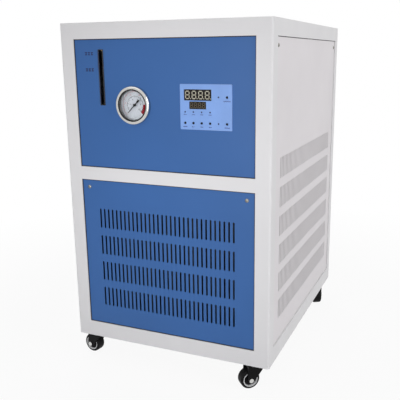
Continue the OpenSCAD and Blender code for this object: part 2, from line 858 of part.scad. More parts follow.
// The seven bars of a digit and its point
module digit(h) {
    w = h * 0.55;
    t = h * 0.13;
    for (z = [-1, 0, 1]) translate([0, z * h / 2]) digit_bar(w - t / 2, t);
    for (x = [-1, 1]) for (z = [-1, 1]) translate([x * w / 2, z * h / 4]) rotate(90)
        digit_bar(h / 2 - t / 2, t);
    translate([w / 2 + t * 1.5, -h / 2]) circle(r = t * 0.6, $fn = 12);
}

module display_module(middle, w, h) {
    difference() {
        plate_y(display_front, board_front) translate(middle) square([w, h], center = true);
        plate_y(display_front - 1, display_front + 0.3) for (i = [0:3])
            translate(middle + [(i - 1.5) * w / 4.1 - w * 0.015, 0]) digit(h * 0.68);
    }
}

// The two four-digit display modules, soldered to the board and seen through the overlay
module display_modules() {
    color([0.16, 0.15, 0.13]) in_frame() {
        display_module(big_display, big_display_w, big_display_h);
        display_module(small_display, small_display_w, small_display_h);
    }
}

module indicator_lamps() {
    color([0.35, 0.12, 0.12]) in_frame() for (p = lamp_spots)
        rod_y(p.x, p.y, overlay_front, board_front, lamp_r, 24);
}

// The circuit board with the six switches that the buttons press
module control_board() {
    color([0.1, 0.35, 0.2]) in_frame() difference() {
        union() {
            block([pad_x - pad_w / 2 - 7, board_front, pad_z - pad_h / 2],
                [pad_x + pad_w / 2 + 7, board_front + board_t, pad_z + pad_h / 2]);
            for (p = button_spots) block([p.x - switch_s / 2, board_front - switch_t, p.y - switch_s / 2],
                [p.x + switch_s / 2, board_front + eps, p.y + switch_s / 2]);
        }
        for (p = button_spots) rod_y(p.x, p.y, board_front - switch_t - 1,
            board_front - switch_t + switch_seat + button_travel + seat_gap, button_r + run_gap, 24);
        for (p = standoff_spots) rod_y(p.x, p.y, board_front - 1, board_front + board_t + 1,
            standoff_neck_r + seat_gap, 24);
    }
}

module board_standoffs() {
    color(zinc) in_frame() for (p = standoff_spots) {
        rod_y(p.x, p.y, panel_back, board_front, standoff_r, 6);
        rod_y(p.x, p.y, board_front - eps, board_front + board_t + eps, standoff_neck_r, 24);
        rod_y(p.x, p.y, board_front + board_t, board_front + board_t + 2, standoff_r, 24);
    }
}

// A button's stem, from in front of the overlay into its switch
module button(i) {
    color(black) in_frame() rod_y(button_spots[i].x, button_spots[i].y, overlay_front - button_out,
        board_front - switch_t + switch_seat, button_r, 32);
}

module button_set() button(0);
module button_shift() button(1);
module button_down() button(2);
module button_up() button(3);
module button_cool() button(4);
module button_power() button(5);

// A disc or ring along y at the gauge's middle
module gauge_ring(y0, y1, r, bore = 0) {
    difference() {
        rod_y(gauge_x, gauge_z, y0, y1, r, 96);
        if (bore > 0) rod_y(gauge_x, gauge_z, y0 - 1, y1 + 1, bore, 96);
    }
}

// The cup that holds the movement, with a shoulder for the dial
module gauge_case() {
    color(steel) in_frame() difference() {
        gauge_ring(case_front, case_back, gauge_r);
        rod_y(gauge_x, gauge_z, case_front - 1, dial_back, gauge_r - case_wall, 96);
        rod_y(gauge_x, gauge_z, dial_back - 1, case_back - case_floor, gauge_r - 2.5 * case_wall, 96);
        rod_y(gauge_x, gauge_z - stem_drop, 0, case_back + 1, stem_r + seat_gap);
    }
}

// The polished ring that is crimped over the glass: a rounded section turned round the axis
module gauge_bezel() {
    bore = gauge_r + seat_gap;
    depth = panel_front - bezel_front;
    lip_r = gauge_r - 2.6;
    round_r = 2.4;
    section = concat([[bore, 0], [bezel_r, 0]], arc([bezel_r - round_r, depth - round_r], round_r, 0, 90, 6),
        arc([lip_r + 1.2, depth - 1.2], 1.2, 90, 180, 4), [[lip_r, depth - lip_t], [bore, depth - lip_t]]);
    color(steel) in_frame() translate([gauge_x, panel_front, gauge_z]) rotate([90, 0, 0])
        rotate_extrude($fn = 96) polygon(section);
}

module gauge_window() {
    color([0.9, 0.95, 1, 0.3]) in_frame() gauge_ring(glass_front, case_front, gauge_r - 0.1);
}

// The dial, with a hole for the pointer's arbor
module gauge_dial() {
    color([0.93, 0.93, 0.94]) in_frame() gauge_ring(dial_front, dial_back, gauge_r - case_wall - seat_gap,
        arbor_r + hole_gap);
}

// The pointer at its zero: a long thin blade, a short broad tail, a hub and the arbor behind it
module gauge_pointer() {
    tip = gauge_r * 0.66;
    tail = gauge_r * 0.42;
    color(black) in_frame() {
        plate_y(pointer_y, pointer_y + pointer_t) translate([gauge_x, gauge_z]) rotate(pointer_zero)
            polygon([[tip, -0.25], [tip, 0.25], [0, 0.8], [-tail * 0.5, 0.7], [-tail * 0.6, 1.5],
                [-tail, 1.5], [-tail, -1.5], [-tail * 0.6, -1.5], [-tail * 0.5, -0.7], [0, -0.8]]);
        rod_y(gauge_x, gauge_z, pointer_y - 0.5, pointer_y + pointer_t + 1, 2.4, 32);
        rod_y(gauge_x, gauge_z, pointer_y, socket_front + 5, arbor_r, 24);
    }
}

// The brass socket: the movement's block, its bearing for the arbor and the pressure stem
module gauge_socket() {
    color(brass) in_frame() difference() {
        union() {
            rod_y(gauge_x, gauge_z, socket_front, case_back - case_floor, 9, 32);
            block([gauge_x - 7, socket_front + 4, gauge_z - stem_drop],
                [gauge_x + 7, case_back - case_floor, gauge_z]);
            rod_y(gauge_x, gauge_z - stem_drop, socket_front + 4, case_back - case_floor, 7);
            rod_y(gauge_x, gauge_z - stem_drop, case_back - case_floor - eps, stem_end, stem_r);
            rod_y(gauge_x, gauge_z - stem_drop, case_back, case_back + 6, stem_r + 3, 6);
        }
        rod_y(gauge_x, gauge_z, socket_front - 1, socket_front + 6, arbor_r + run_gap, 24);
    }
}

// The clear tube behind the level slot
module level_tube() {
    end = elbow_h - elbow_bore_t;
    color([0.75, 0.8, 0.85, 0.5]) in_frame() translate([level_x, level_y, level_z0 + end])
        difference() {
            cylinder(r = sight_r, h = level_z1 - level_z0 - 2 * end, $fn = smooth);
            translate([0, 0, -1]) cylinder(r = sight_r - sight_wall, h = body_h, $fn = smooth);
        }
}

// One elbow: a socket for the tube's end and an arm that reaches the reservoir's wall
module level_elbow(z, up) {
    translate([level_x, level_y, z]) mirror([0, 0, up ? 0 : 1]) difference() {
        union() {
            cylinder(r = elbow_r, h = elbow_h, $fn = smooth);
            translate([0, 0, arm_r + 1]) rotate([-90, 0, 0])
                cylinder(r = arm_r, h = tank_y0 - level_y, $fn = 32);
        }
        translate([0, 0, elbow_h - elbow_bore_t]) cylinder(r = sight_r + 0.15, h = elbow_h, $fn = smooth);
    }
}

module level_elbows() {
    color(brass) in_frame() {
        level_elbow(level_z0, true);
        level_elbow(level_z1, false);
    }
}

// Places for the castors' four bolts, seen from the castor's own middle
module castor_bolt_places() {
    for (spot = castor_spots) for (x = [-1, 1]) for (y = [-1, 1])
        translate([spot.x + x * (plate_s / 2 - bolt_in), spot.y + y * (plate_s / 2 - bolt_in), -eps])
            children();
}

// Top plates with their ball races and swivel rivets
module castor_plates() {
    rivet_end = fork_z1 - fork_top_t - seat_gap;
    color(black) in_frame() difference() {
        for (spot = castor_spots) translate([spot.x, spot.y, 0]) {
            translate([0, 0, -plate_t]) linear_extrude(plate_t)
                polygon(round_rect([-plate_s / 2, -plate_s / 2], [plate_s / 2, plate_s / 2], 4, 4));
            translate([0, 0, -plate_t - race_t]) cylinder(r1 = race_r - 1.5, r2 = race_r, h = race_t + eps,
                $fn = smooth);
            translate([0, 0, rivet_end - eps]) cylinder(r = rivet_r, h = castor_h / 4, $fn = smooth);
            translate([0, 0, rivet_end - rivet_head_t]) cylinder(r = rivet_head_r, h = rivet_head_t,
                $fn = smooth);
        }
        translate([0, 0, -plate_t - 1]) castor_bolt_places()
            cylinder(r = castor_bolt_r + seat_gap, h = plate_t + 2, $fn = 24);
        block([-body_w, -body_d, 0], [body_w, 2 * body_d, castor_h]);
    }
}

// Bolts up through the plates, the ring and the tray, with their nuts on the tray
module castor_bolts() {
    color(steel) in_frame() castor_bolt_places() {
        intersection() {
            translate([0, 0, -plate_t - castor_bolt_head_h]) cylinder(r = castor_bolt_head_r,
                h = castor_bolt_head_h, $fn = 32);
            translate([0, 0, 4.4 - plate_t - castor_bolt_head_h]) sphere(r = 4.4, $fn = smooth);
        }
        translate([0, 0, -plate_t - eps]) cylinder(r = castor_bolt_r, h = floor_z + plate_t + 6, $fn = 24);
        translate([0, 0, floor_z]) cylinder(r = castor_bolt_r * 1.75, h = 4, $fn = 6);
    }
}

// Stands a castor's moving piece at its place and turn
module at_castor(i) {
    in_frame() translate([castor_spots[i].x, castor_spots[i].y, 0]) rotate(castor_turns[i]) children();
}

// A fork that trails to its own -x side, with the axle riveted through its legs
module castor_fork(i) {
    back = castor_trail + 5.5;
    nose = race_r - 1;
    tip_r = 7;
    leg = concat([[-back, fork_z1], [nose - 3, fork_z1], [nose - 3, fork_z1 - fork_top_t]],
        [for (a = [-40:-20:-180]) [-castor_trail + tip_r * cos(a), axle_z + tip_r * sin(a)]],
        [[-back - 1, axle_z + 6]]);
    color(black) at_castor(i) difference() {
        union() {
            translate([0, 0, fork_z1 - fork_top_t]) linear_extrude(fork_top_t)
                polygon(concat([[-back, -leg_out], [0, -leg_out]], arc([0, 0], nose, -60, 60, 8),
                    [[0, leg_out], [-back, leg_out]]));
            for (side = [-1, 1]) plate_y(side > 0 ? leg_in : -leg_out, side > 0 ? leg_out : -leg_in)
                polygon(leg);
            rod_y(-castor_trail, axle_z, -leg_out - 1, leg_out + 1, axle_r);
            rod_y(-castor_trail, axle_z, leg_out - eps, leg_out + 2.5, axle_r + 1.1, 32);
            rod_y(-castor_trail, axle_z, -leg_out - 2.5, -leg_out + eps, axle_r + 1.1, 32);
        }
        translate([0, 0, -castor_h]) cylinder(r = rivet_r + run_gap, h = castor_h, $fn = smooth);
    }
}

module castor_fork_fl() castor_fork(0);
module castor_fork_fr() castor_fork(1);
module castor_fork_rl() castor_fork(2);
module castor_fork_rr() castor_fork(3);

// A wheel turned from its section: tyre, raised ring, dished side and hub
module castor_wheel(i) {
    half = wheel_w / 2;
    ring_r = wheel_r * 0.72;
    edge = arc([wheel_r - tyre_round, half - tyre_round], tyre_round, 0, 90, 4);
    upper = concat(edge, [[ring_r + 1.2, half], [ring_r + 0.9, half + 0.5], [ring_r - 0.9, half + 0.5],
        [ring_r - 1.3, half - 1.6], [axle_r + 3.4, half - 1.6], [axle_r + 2.6, hub_half],
        [axle_r + run_gap, hub_half]]);
    lower = [for (k = [len(upper) - 1:-1:0]) [upper[k].x, -upper[k].y]];
    color(black) at_castor(i) translate([-castor_trail, 0, axle_z]) rotate([90, 0, 0])
        rotate_extrude($fn = 64) polygon(concat(upper, lower));
}

module castor_wheel_fl() castor_wheel(0);
module castor_wheel_fr() castor_wheel(1);
module castor_wheel_rl() castor_wheel(2);
module castor_wheel_rr() castor_wheel(3);

// The sealed compressor: two domed half shells with a weld seam, feet and a terminal box
module compressor() {
    dome = comp_r * 0.42;
    seam_z = comp_h * 0.52;
    profile = concat([[0, 0]], [for (a = [0:15:90]) [(comp_r - dome) + dome * sin(a), dome * (1 - cos(a))]],
        [[comp_r, seam_z - 3], [comp_r + 3, seam_z - 3], [comp_r + 3, seam_z], [comp_r, seam_z]],
        [for (a = [90:-15:0]) [(comp_r - dome) + dome * sin(a), comp_h - dome * (1 - cos(a))]],
        [[0, comp_h]]);
    color(black) in_frame() translate([comp_x, comp_y, comp_z0]) {
        rotate_extrude($fn = 72) polygon(profile);
        difference() {
            translate([0, 0, -comp_plate_t]) linear_extrude(comp_plate_t + eps)
                polygon(round_rect([-comp_foot_s - 14, -comp_foot_s - 10], [comp_foot_s + 14, comp_foot_s + 10],
                    10, 4));
            for (x = [-1, 1]) for (y = [-1, 1]) translate([x * comp_foot_s, y * comp_foot_s, -10])
                cylinder(r = 6.5, h = 20, $fn = 32);
        }
        block([comp_r - 8, -24, comp_h * 0.3], [comp_r + 14, 24, comp_h * 0.3 + 46]);
        rod_y(0, comp_stub_z - comp_z0, -comp_r - comp_stub, 0, comp_stub_r, 32);
        rod_y(0, comp_stub_z - comp_z0, 0, comp_r + comp_stub, comp_stub_r, 32);
    }
}

// Rubber grommets that the compressor's plate rests on
module compressor_mounts() {
    color(black) in_frame() for (x = [-1, 1]) for (y = [-1, 1])
        translate([comp_x + x * comp_foot_s, comp_y + y * comp_foot_s, floor_z]) {
            cylinder(r = 10, h = comp_foot - comp_plate_t, $fn = 32);
            cylinder(r = 6.2, h = comp_foot + 2, $fn = 32);
        }
}

// One hairpin bend of the condenser's tube, between two of its rows
module hairpin(pitch) {
    rotate([90, 0, 0]) rotate_extrude(angle = 180, $fn = smooth)
        translate([pitch / 2, 0]) circle(r = line_r, $fn = 16);
}

// Fin block with its end plates, its feet and its hairpin bends
module condenser() {
    half = cond_w / 2;
    fins = floor(cond_w / fin_pitch) - 1;
    groove = fin_groove_w / 2;
    comb = concat([[half, 0], [half, cond_d], [-half, cond_d], [-half, 0]],
        [for (i = [0:fins - 1]) let (x = (i - (fins - 1) / 2) * fin_pitch)
            each [[x - groove, 0], [x - groove, fin_groove_d], [x + groove, fin_groove_d],
                [x + groove, 0]]]);
    color([0.7, 0.71, 0.73]) in_frame() {
        translate([0, cond_y0, cond_z0]) linear_extrude(cond_h) polygon(comb);
        for (side = [-1, 1]) translate([side * (half + cond_plate_t / 2), 0, 0]) {
            block([-cond_plate_t / 2 - eps, cond_y0, floor_z], [cond_plate_t / 2 + eps, cond_y1,
                cond_z0 + cond_h]);
            block([side > 0 ? 0 : -cond_foot_w, cond_y0, floor_z],
                [side > 0 ? cond_foot_w : 0, cond_y1, floor_z + cond_plate_t]);
        }
        for (y = bend_columns) {
            for (i = [0:2:bend_rows - 2]) translate([half + cond_plate_t, y, bend_z0 + (i + 0.5) * bend_pitch])
                rotate([0, 90, 0]) hairpin(bend_pitch);
            for (i = [1:2:bend_rows - 2]) translate([-half - cond_plate_t, y, bend_z0 + (i + 0.5) * bend_pitch])
                rotate([0, -90, 0]) hairpin(bend_pitch);
            translate([stub_x, y, bend_z0]) rotate([0, 90, 0]) cylinder(r = line_r, h = cond_stub, $fn = 16);
        }
        translate([-half - cond_plate_t, (bend_columns[0] + bend_columns[1]) / 2,
            bend_z0 + (bend_rows - 1) * bend_pitch]) rotate([0, -90, 0]) rotate([0, 0, 90])
            hairpin(bend_columns[1] - bend_columns[0]);
    }
}

// The two plates that lead the air from the window to the condenser, against its end plates
module air_guides() {
    inner = cond_w / 2;
    for (side = [-1, 1]) color(zinc) in_frame() translate([side * (inner + cond_plate_t / 2), 0, cond_z0])
        block([-cond_plate_t / 2, guide_y0, 0], [cond_plate_t / 2, cond_y0, cond_h]);
}

// The pressed shroud: skirt, back plate, duct ring and the four arms that carry the motor
module fan_shroud() {
    w = cond_w / 2 + cond_plate_t;
    z0 = cond_z0;
    z1 = cond_z0 + cond_h;
    color(black) in_frame() difference() {
        union() {
            difference() {
                block([-w, cond_y1, z0], [w, plate_y1, z1]);
                block([shroud_t - w, cond_y1 - 1, z0 + shroud_t], [w - shroud_t, plate_y1 - shroud_t,
                    z1 - shroud_t]);
            }
            rod_y(0, fan_z, plate_y1 - eps, duct_end, duct_r + shroud_t, 96);
        }
        rod_y(0, fan_z, cond_y1 - 1, duct_end + 1, duct_r, 96);
    }
    color(black) in_frame() difference() {
        union() {
            rod_y(0, fan_z, motor_y0, motor_y0 + motor_ring_d, motor_r + motor_ring_t, 64);
            for (turn = [45:90:315]) translate([0, motor_y0, fan_z]) rotate([0, turn, 0])
                block([motor_r + motor_ring_t / 2, 0, -arm_w / 2],
                    [duct_r + shroud_t / 2, arm_t, arm_w / 2]);
        }
        rod_y(0, fan_z, motor_y0 - 1, motor_y0 + 2 * motor_ring_d, motor_r + motor_seat, 64);
    }
}

module fan_motor() {
    color(steel) in_frame() {
        rod_y(0, fan_z, motor_y0, motor_y0 + motor_len, motor_r, 64);
        rod_y(0, fan_z, motor_y0 - 2, motor_y0 + eps, motor_r * 0.35, 48);
        rod_y(0, fan_z, hub_y0 + 2, motor_y0, shaft_r, 32);
        rod_y(0, fan_z, motor_y0 + motor_len - eps, motor_y0 + motor_len + 6, motor_r * 0.4, 48);
    }
}

// The fan: cambered, twisted blades round a hub, which runs on the motor's shaft
module fan_blades() {
    color(black) in_frame() translate([0, hub_y0, fan_z]) rotate([-90, 0, 0]) difference() {
        union() {
            cylinder(r = hub_r, h = hub_d, $fn = smooth);
            translate([0, 0, hub_d / 2]) for (i = [0:blades - 1]) rotate(i * 360 / blades) blade();
        }
        translate([0, 0, 1]) cylinder(r = shaft_r + run_gap, h = hub_d, $fn = 32);
    }
}

// A point of a blade: i runs from the root to the tip, j along the chord, side is up or down
function blade_point(i, j, side) = let (u = i / blade_rings, v = 2 * j / blade_steps - 1,
    r = hub_r - 2 + (fan_r - hub_r + 2) * u, half = (root_chord + (fan_r * 0.4 - root_chord) * u) / 2,
    pitch = root_pitch + (tip_pitch - root_pitch) * u, rise = half * 0.16 * (1 - v * v),
    across = half * v * cos(pitch) - rise * sin(pitch), a = across / r * 180 / PI)
    [r * cos(a), r * sin(a), half * v * sin(pitch) + rise * cos(pitch) + side * blade_t / 2];

module blade() {
    n = blade_rings;
    m = blade_steps;
    base = (n + 1) * (m + 1);
    points = [for (side = [1, -1]) for (i = [0:n]) for (j = [0:m]) blade_point(i, j, side)];
    function at(i, j, under) = under * base + i * (m + 1) + j;
    function quad(a, b, c, d) = [[a, b, c], [a, c, d]];
    faces = concat(
        [for (i = [0:n - 1]) for (j = [0:m - 1]) each concat(
            quad(at(i, j, 0), at(i, j + 1, 0), at(i + 1, j + 1, 0), at(i + 1, j, 0)),
            quad(at(i, j, 1), at(i + 1, j, 1), at(i + 1, j + 1, 1), at(i, j + 1, 1)))],
        [for (i = [0:n - 1]) each concat(quad(at(i, 0, 0), at(i + 1, 0, 0), at(i + 1, 0, 1), at(i, 0, 1)),
            quad(at(i + 1, m, 0), at(i, m, 0), at(i, m, 1), at(i + 1, m, 1)))],
        [for (j = [0:m - 1]) each concat(quad(at(0, j + 1, 0), at(0, j, 0), at(0, j, 1), at(0, j + 1, 1)),
            quad(at(n, j, 0), at(n, j + 1, 0), at(n, j + 1, 1), at(n, j, 1)))]);
    polyhedron(points = points, faces = faces, convexity = 4);
}

// The open tank, with its outlet, drain and return stubs
module reservoir() {
    color(steel) in_frame() difference() {
        union() {
            translate([0, 0, tank_z0]) linear_extrude(tank_h)
                polygon(round_rect([tank_x0, tank_y0], [tank_x1, tank_y1], tank_corner));
            bottom_stub(tank_outlet, hose_r + stub_wall - 0.5);
            bottom_stub(tank_drain, drain_hose_r + stub_wall - 0.5);
            translate([tank_x1 - tank_t, return_spot.x, return_spot.y]) rotate([0, 90, 0])
                cylinder(r = hose_r, h = stub_len + tank_t, $fn = smooth);
        }
        translate([0, 0, tank_z0 + tank_t]) linear_extrude(tank_h)
            polygon(round_rect([tank_x0 + tank_t, tank_y0 + tank_t], [tank_x1 - tank_t, tank_y1 - tank_t],
                tank_corner - tank_t));
        translate([tank_outlet.x, tank_outlet.y, 0]) cylinder(r = hose_r - 2, h = body_h, $fn = smooth);
        translate([tank_drain.x, tank_drain.y, 0]) cylinder(r = drain_hose_r - 2, h = body_h, $fn = smooth);
        translate([tank_x1 - 2 * tank_t, return_spot.x, return_spot.y]) rotate([0, 90, 0])
            cylinder(r = hose_r - 2, h = 3 * stub_len, $fn = smooth);
    }
}

module bottom_stub(spot, r) {
    translate([spot.x, spot.y, tank_z0 - stub_drop]) cylinder(r = r, h = stub_drop + tank_t, $fn = smooth);
}

// The lid, with the filler neck and two holes for the coil's ends
module reservoir_lid() {
    color(steel) in_frame() difference() {
        union() {
            translate([0, 0, tank_z1]) linear_extrude(lid_t)
                polygon(round_rect([tank_x0 - lid_over, tank_y0 - lid_over], [tank_x1 + lid_over,
                    tank_y1 + lid_over], tank_corner + lid_over));
            translate([filler.x, filler.y, tank_z1]) cylinder(r = neck_r, h = neck_z1 - tank_z1, $fn = smooth);
        }
        translate([filler.x, filler.y, 0]) cylinder(r = neck_r - neck_t, h = 2 * body_h, $fn = smooth);
        for (p = coil_ends) translate([p.x, p.y, 0]) cylinder(r = line_r + hole_gap, h = body_h, $fn = 32);
    }
}

// The coil's run: down to the top turn, round and down, then in and up its middle
function coil_points() = concat([[coil_ends[0].x, coil_ends[0].y, coil_top]],
    [for (i = [0:coil_turns * coil_steps]) let (a = 360 * i / coil_steps)
        [coil_x + coil_r * cos(a), coil_y + coil_r * sin(a),
            coil_z0 + coil_pitch * (coil_turns - i / coil_steps)]],
    bent([[coil_x + coil_r * 0.75, coil_y, coil_z0 - coil_return_drop],
        [coil_x, coil_y, coil_z0 - coil_return_drop], [coil_x, coil_y, coil_top]], coil_return_bend));

module evaporator_coil() {
    color(copper) in_frame() pipe(coil_points(), line_r);
}

// A plug-in cap with a gripped rim over the filler neck
module filler_cap() {
    ribs = 24;
    color(black) in_frame() translate([filler.x, filler.y, 0]) difference() {
        union() {
            translate([0, 0, neck_z1]) cylinder(r = cap_r, h = cap_z1 - neck_z1, $fn = 96);
            translate([0, 0, neck_z1 - cap_plug_d]) cylinder(r = neck_r - neck_t - seat_gap,
                h = cap_plug_d + eps, $fn = smooth);
        }
        for (i = [0:ribs - 1]) rotate(i * 360 / ribs) translate([cap_r + 0.6, 0, neck_z1 + 1])
            cylinder(r = 1.6, h = cap_out, $fn = 16);
        translate([0, 0, cap_z1 - 1]) difference() {
            cylinder(r = cap_r - 5, h = 2, $fn = smooth);
            translate([0, 0, -1]) cylinder(r = cap_r - 8, h = 4, $fn = smooth);
        }
        translate([0, 0, neck_z1 - cap_plug_d - 1]) cylinder(r = neck_r - neck_t - 3, h = cap_plug_d,
            $fn = smooth);
    }
}

// A centrifugal pump that lies along x: volute, finned motor, foot and two stubs
module pump() {
    motor_x0 = pump_x0 + volute_w;
    color([0.2, 0.28, 0.4]) in_frame() {
        translate([0, pump_y, pump_z]) rotate([0, 90, 0]) {
            translate([0, 0, pump_x0]) cylinder(r = volute_r, h = volute_w, $fn = 64);
            translate([0, 0, pump_x0 - pump_stub]) cylinder(r = hose_r, h = pump_stub + 1, $fn = smooth);
            translate([0, 0, motor_x0 - eps]) cylinder(r = pump_motor_r - pump_fin_d, h = pump_motor_len,
                $fn = 64);
            for (x = [pump_fin_pitch:pump_fin_pitch:pump_motor_len - pump_fin_pitch])
                translate([0, 0, motor_x0 + x]) cylinder(r = pump_motor_r, h = pump_fin_t, $fn = 64);
        }
        translate([outlet_x, pump_y, pump_z]) cylinder(r = hose_r, h = pump_outlet_z - pump_z, $fn = smooth);
        block([motor_x0 + 10, pump_y - pump_foot_w / 2, floor_z],
            [motor_x0 + pump_motor_len - 10, pump_y + pump_foot_w / 2, floor_z + pump_foot_t]);
        block([motor_x0 + 16, pump_y - pump_neck_w / 2, floor_z],
            [motor_x0 + pump_motor_len - 16, pump_y + pump_neck_w / 2, pump_z - pump_motor_r + 12]);
    }
}

// Hot gas line, liquid line with its drier, and suction line
module refrigerant_lines() {
    hot = [[comp_x, comp_y - comp_r - comp_stub, comp_stub_z], [comp_x, gas_y, comp_stub_z],
        [gas_x, gas_y, comp_stub_z], [gas_x, gas_y, bend_z0], [gas_x, bend_columns[1], bend_z0],
        [stub_x, bend_columns[1], bend_z0]];
    liquid = [[stub_x, bend_columns[0], bend_z0], [liquid_x, bend_columns[0], bend_z0],
        [liquid_x, riser_y, bend_z0], [liquid_x, riser_y, line_z], [liquid_x, coil_y, line_z],
        [coil_x, coil_y, line_z], [coil_x, coil_y, coil_top]];
    suction = [[suction_x, coil_y, coil_top], [suction_x, coil_y, line_z], [suction_x, suction_y, line_z],
        [suction_x, suction_y, comp_stub_z], [comp_x, suction_y, comp_stub_z],
        [comp_x, comp_y + comp_r + comp_stub, comp_stub_z]];
    color(copper) in_frame() {
        pipe(bent(hot, line_bend), line_r);
        pipe(bent(liquid, line_bend), line_r);
        pipe(bent(suction, line_bend), line_r);
        rod_y(liquid_x, bend_z0, drier_y, drier_y + drier_len, drier_r, 32);
    }
}

// Coolant hoses between the reservoir, pump, ports and drain, and the gauge's small tube
module coolant_hoses() {
    tail_y = body_d - port_tail;
    drain_turn = shelf_z0 - drain_hose_drop;
    tee_z = port_z - tee_drop;
    tube_z = gauge_z - stem_drop;
    feed = [[tank_outlet.x, tank_outlet.y, tank_z0 - stub_drop], [tank_outlet.x, tank_outlet.y, feed_z],
        [tank_outlet.x, pump_y, feed_z], [tank_outlet.x, pump_y, pump_z],
        [pump_x0 - pump_stub, pump_y, pump_z]];
    supply = [[outlet_x, pump_y, pump_outlet_z], [outlet_x, pump_y, port_z], [outlet_x, tail_y, port_z]];
    back = [[inlet_x, tail_y, port_z], [inlet_x, return_spot.x, port_z],
        [inlet_x, return_spot.x, return_spot.y], [tank_x1 + stub_len, return_spot.x, return_spot.y]];
    drain = [[tank_drain.x, tank_drain.y, tank_z0 - stub_drop], [tank_drain.x, tank_drain.y, drain_turn],
        [tank_drain.x, riser_y + 6, drain_turn], [tank_drain.x, riser_y + 6, drain_z],
        [tank_drain.x, body_d - valve_tail, drain_z]];
    gauge = [[gauge_x, stem_end, tube_z], [gauge_x, gauge_tube_y, tube_z],
        [gauge_tube_x, gauge_tube_y, tube_z], [gauge_tube_x, pump_y, tube_z],
        [gauge_tube_x, pump_y, tee_z], [outlet_x - hose_r - hole_gap, pump_y, tee_z]];
    color([0.15, 0.15, 0.16]) in_frame() {
        pipe(bent(feed, hose_bend), hose_r);
        pipe(bent(supply, hose_bend), hose_r);
        pipe(bent(back, hose_bend), hose_r);
        pipe(bent(drain, drain_bend), drain_hose_r);
        pipe(bent(gauge, 2 * gauge_tube_r, 3), gauge_tube_r, 6);
    }
}

// A bulkhead port: hose tail and nut inside, hex and thread outside, one bore through all
module coolant_port(x) {
    flange_t = 5;
    out = rear_panel_out + flange_t;
    difference() {
        union() {
            rod_y(x, port_z, body_d - port_tail, rear_panel_in - nut_t, port_r - 2);
            rod_y(x, port_z, rear_panel_in - nut_t - eps, out + eps, port_r);
            rod_y(x, port_z, rear_panel_in - nut_t, rear_panel_in, port_r * 1.5, 6);
            rod_y(x, port_z, rear_panel_out, out, port_r * 1.55, 6);
            rod_y(x, port_z, out, out + port_len - 1, port_r);
            translate([x, out + port_len - 1, port_z]) rotate([-90, 0, 0])
                cylinder(r1 = port_r, r2 = port_r - 1, h = 1, $fn = smooth);
        }
        rod_y(x, port_z, 0, 2 * body_d, port_bore_r);
    }
}

module coolant_ports() {
    color(steel) in_frame() {
        coolant_port(outlet_x);
        coolant_port(inlet_x);
    }
}

// A small ball valve with its spout, and the boss that the lever turns in
module drain_valve() {
    tail_r = drain_hose_r + 1.5;
    x = -drain_left;
    color(brass) in_frame() difference() {
        union() {
            rod_y(x, drain_z, body_d - valve_tail, rear_panel_in - nut_t, tail_r - 1);
            rod_y(x, drain_z, rear_panel_in - nut_t - eps, rear_panel_out + eps, 8);
            rod_y(x, drain_z, rear_panel_in - nut_t, rear_panel_in, 13, 6);
            rod_y(x, drain_z, rear_panel_out, rear_panel_out + 5, 13, 6);
            rod_y(x, drain_z, rear_panel_out + 5 - eps, body_d + 24, valve_r);
            rod_y(x, drain_z, body_d + 24 - eps, body_d + valve_out, 8);
            translate([x, valve_boss_y, drain_z]) cylinder(r = 6, h = boss_h, $fn = smooth);
        }
        rod_y(x, drain_z, body_d + valve_out - 12, body_d + valve_out + 1, 5);
        translate([x, valve_boss_y, drain_z + valve_r - 3]) cylinder(r = lever_stem_r + run_gap, h = boss_h,
            $fn = 32);
    }
}

// The valve's lever, shut: its stem, its hub and a bent blade with a round end
module drain_lever() {
    z = drain_z + boss_h + seat_gap;
    color([0.7, 0.1, 0.1]) in_frame() translate([-drain_left, valve_boss_y, 0]) {
        translate([0, 0, drain_z + valve_r - 2]) cylinder(r = lever_stem_r, h = z - drain_z - valve_r + 3,
            $fn = 32);
        translate([0, 0, z]) linear_extrude(lever_t)
            polygon(concat(arc([0, 0], 6, 90, 270, 8), arc([lever_len - 5, 0], 5, -90, 90, 8)));
    }
}

// A cable gland: thread and nut inside, hex and domed nut outside, open bore
module cable_gland() {
    r = gland_r + 5;
    color(black) in_frame() difference() {
        union() {
            rod_y(gland_x, drain_z, rear_panel_in - nut_t - 6, rear_panel_out + eps, r);
            rod_y(gland_x, drain_z, rear_panel_in - nut_t, rear_panel_in, r * 1.35, 6);
            rod_y(gland_x, drain_z, rear_panel_out, rear_panel_out + 6, r * 1.35, 6);
            rod_y(gland_x, drain_z, rear_panel_out + 6 - eps, rear_panel_out + 20, r * 1.1);
            translate([gland_x, rear_panel_out + 20 - eps, drain_z]) rotate([-90, 0, 0])
                cylinder(r1 = r * 1.1, r2 = gland_r + 2, h = 5, $fn = smooth);
        }
        rod_y(gland_x, drain_z, 0, 2 * body_d, gland_r);
    }
}

// The closed box with the mains parts, with a lid that overhangs it
module electrical_box() {
    lid = 12;
    over = 1.5;
    color(powder_white) in_frame() translate([ebox_x0, ebox_y0, shelf_z]) {
        linear_extrude(ebox.z - lid) polygon(round_rect([0, 0], [ebox.x, ebox.y], 3, 3));
        translate([0, 0, ebox.z - lid]) linear_extrude(lid)
            polygon(round_rect([-over, -over], [ebox.x + over, ebox.y + over], 4, 3));
        for (y = [30:35:ebox.y - 20]) translate([-8, y, 30]) rotate([0, 90, 0]) cylinder(r = 8, h = 9, $fn = 32);
    }
}

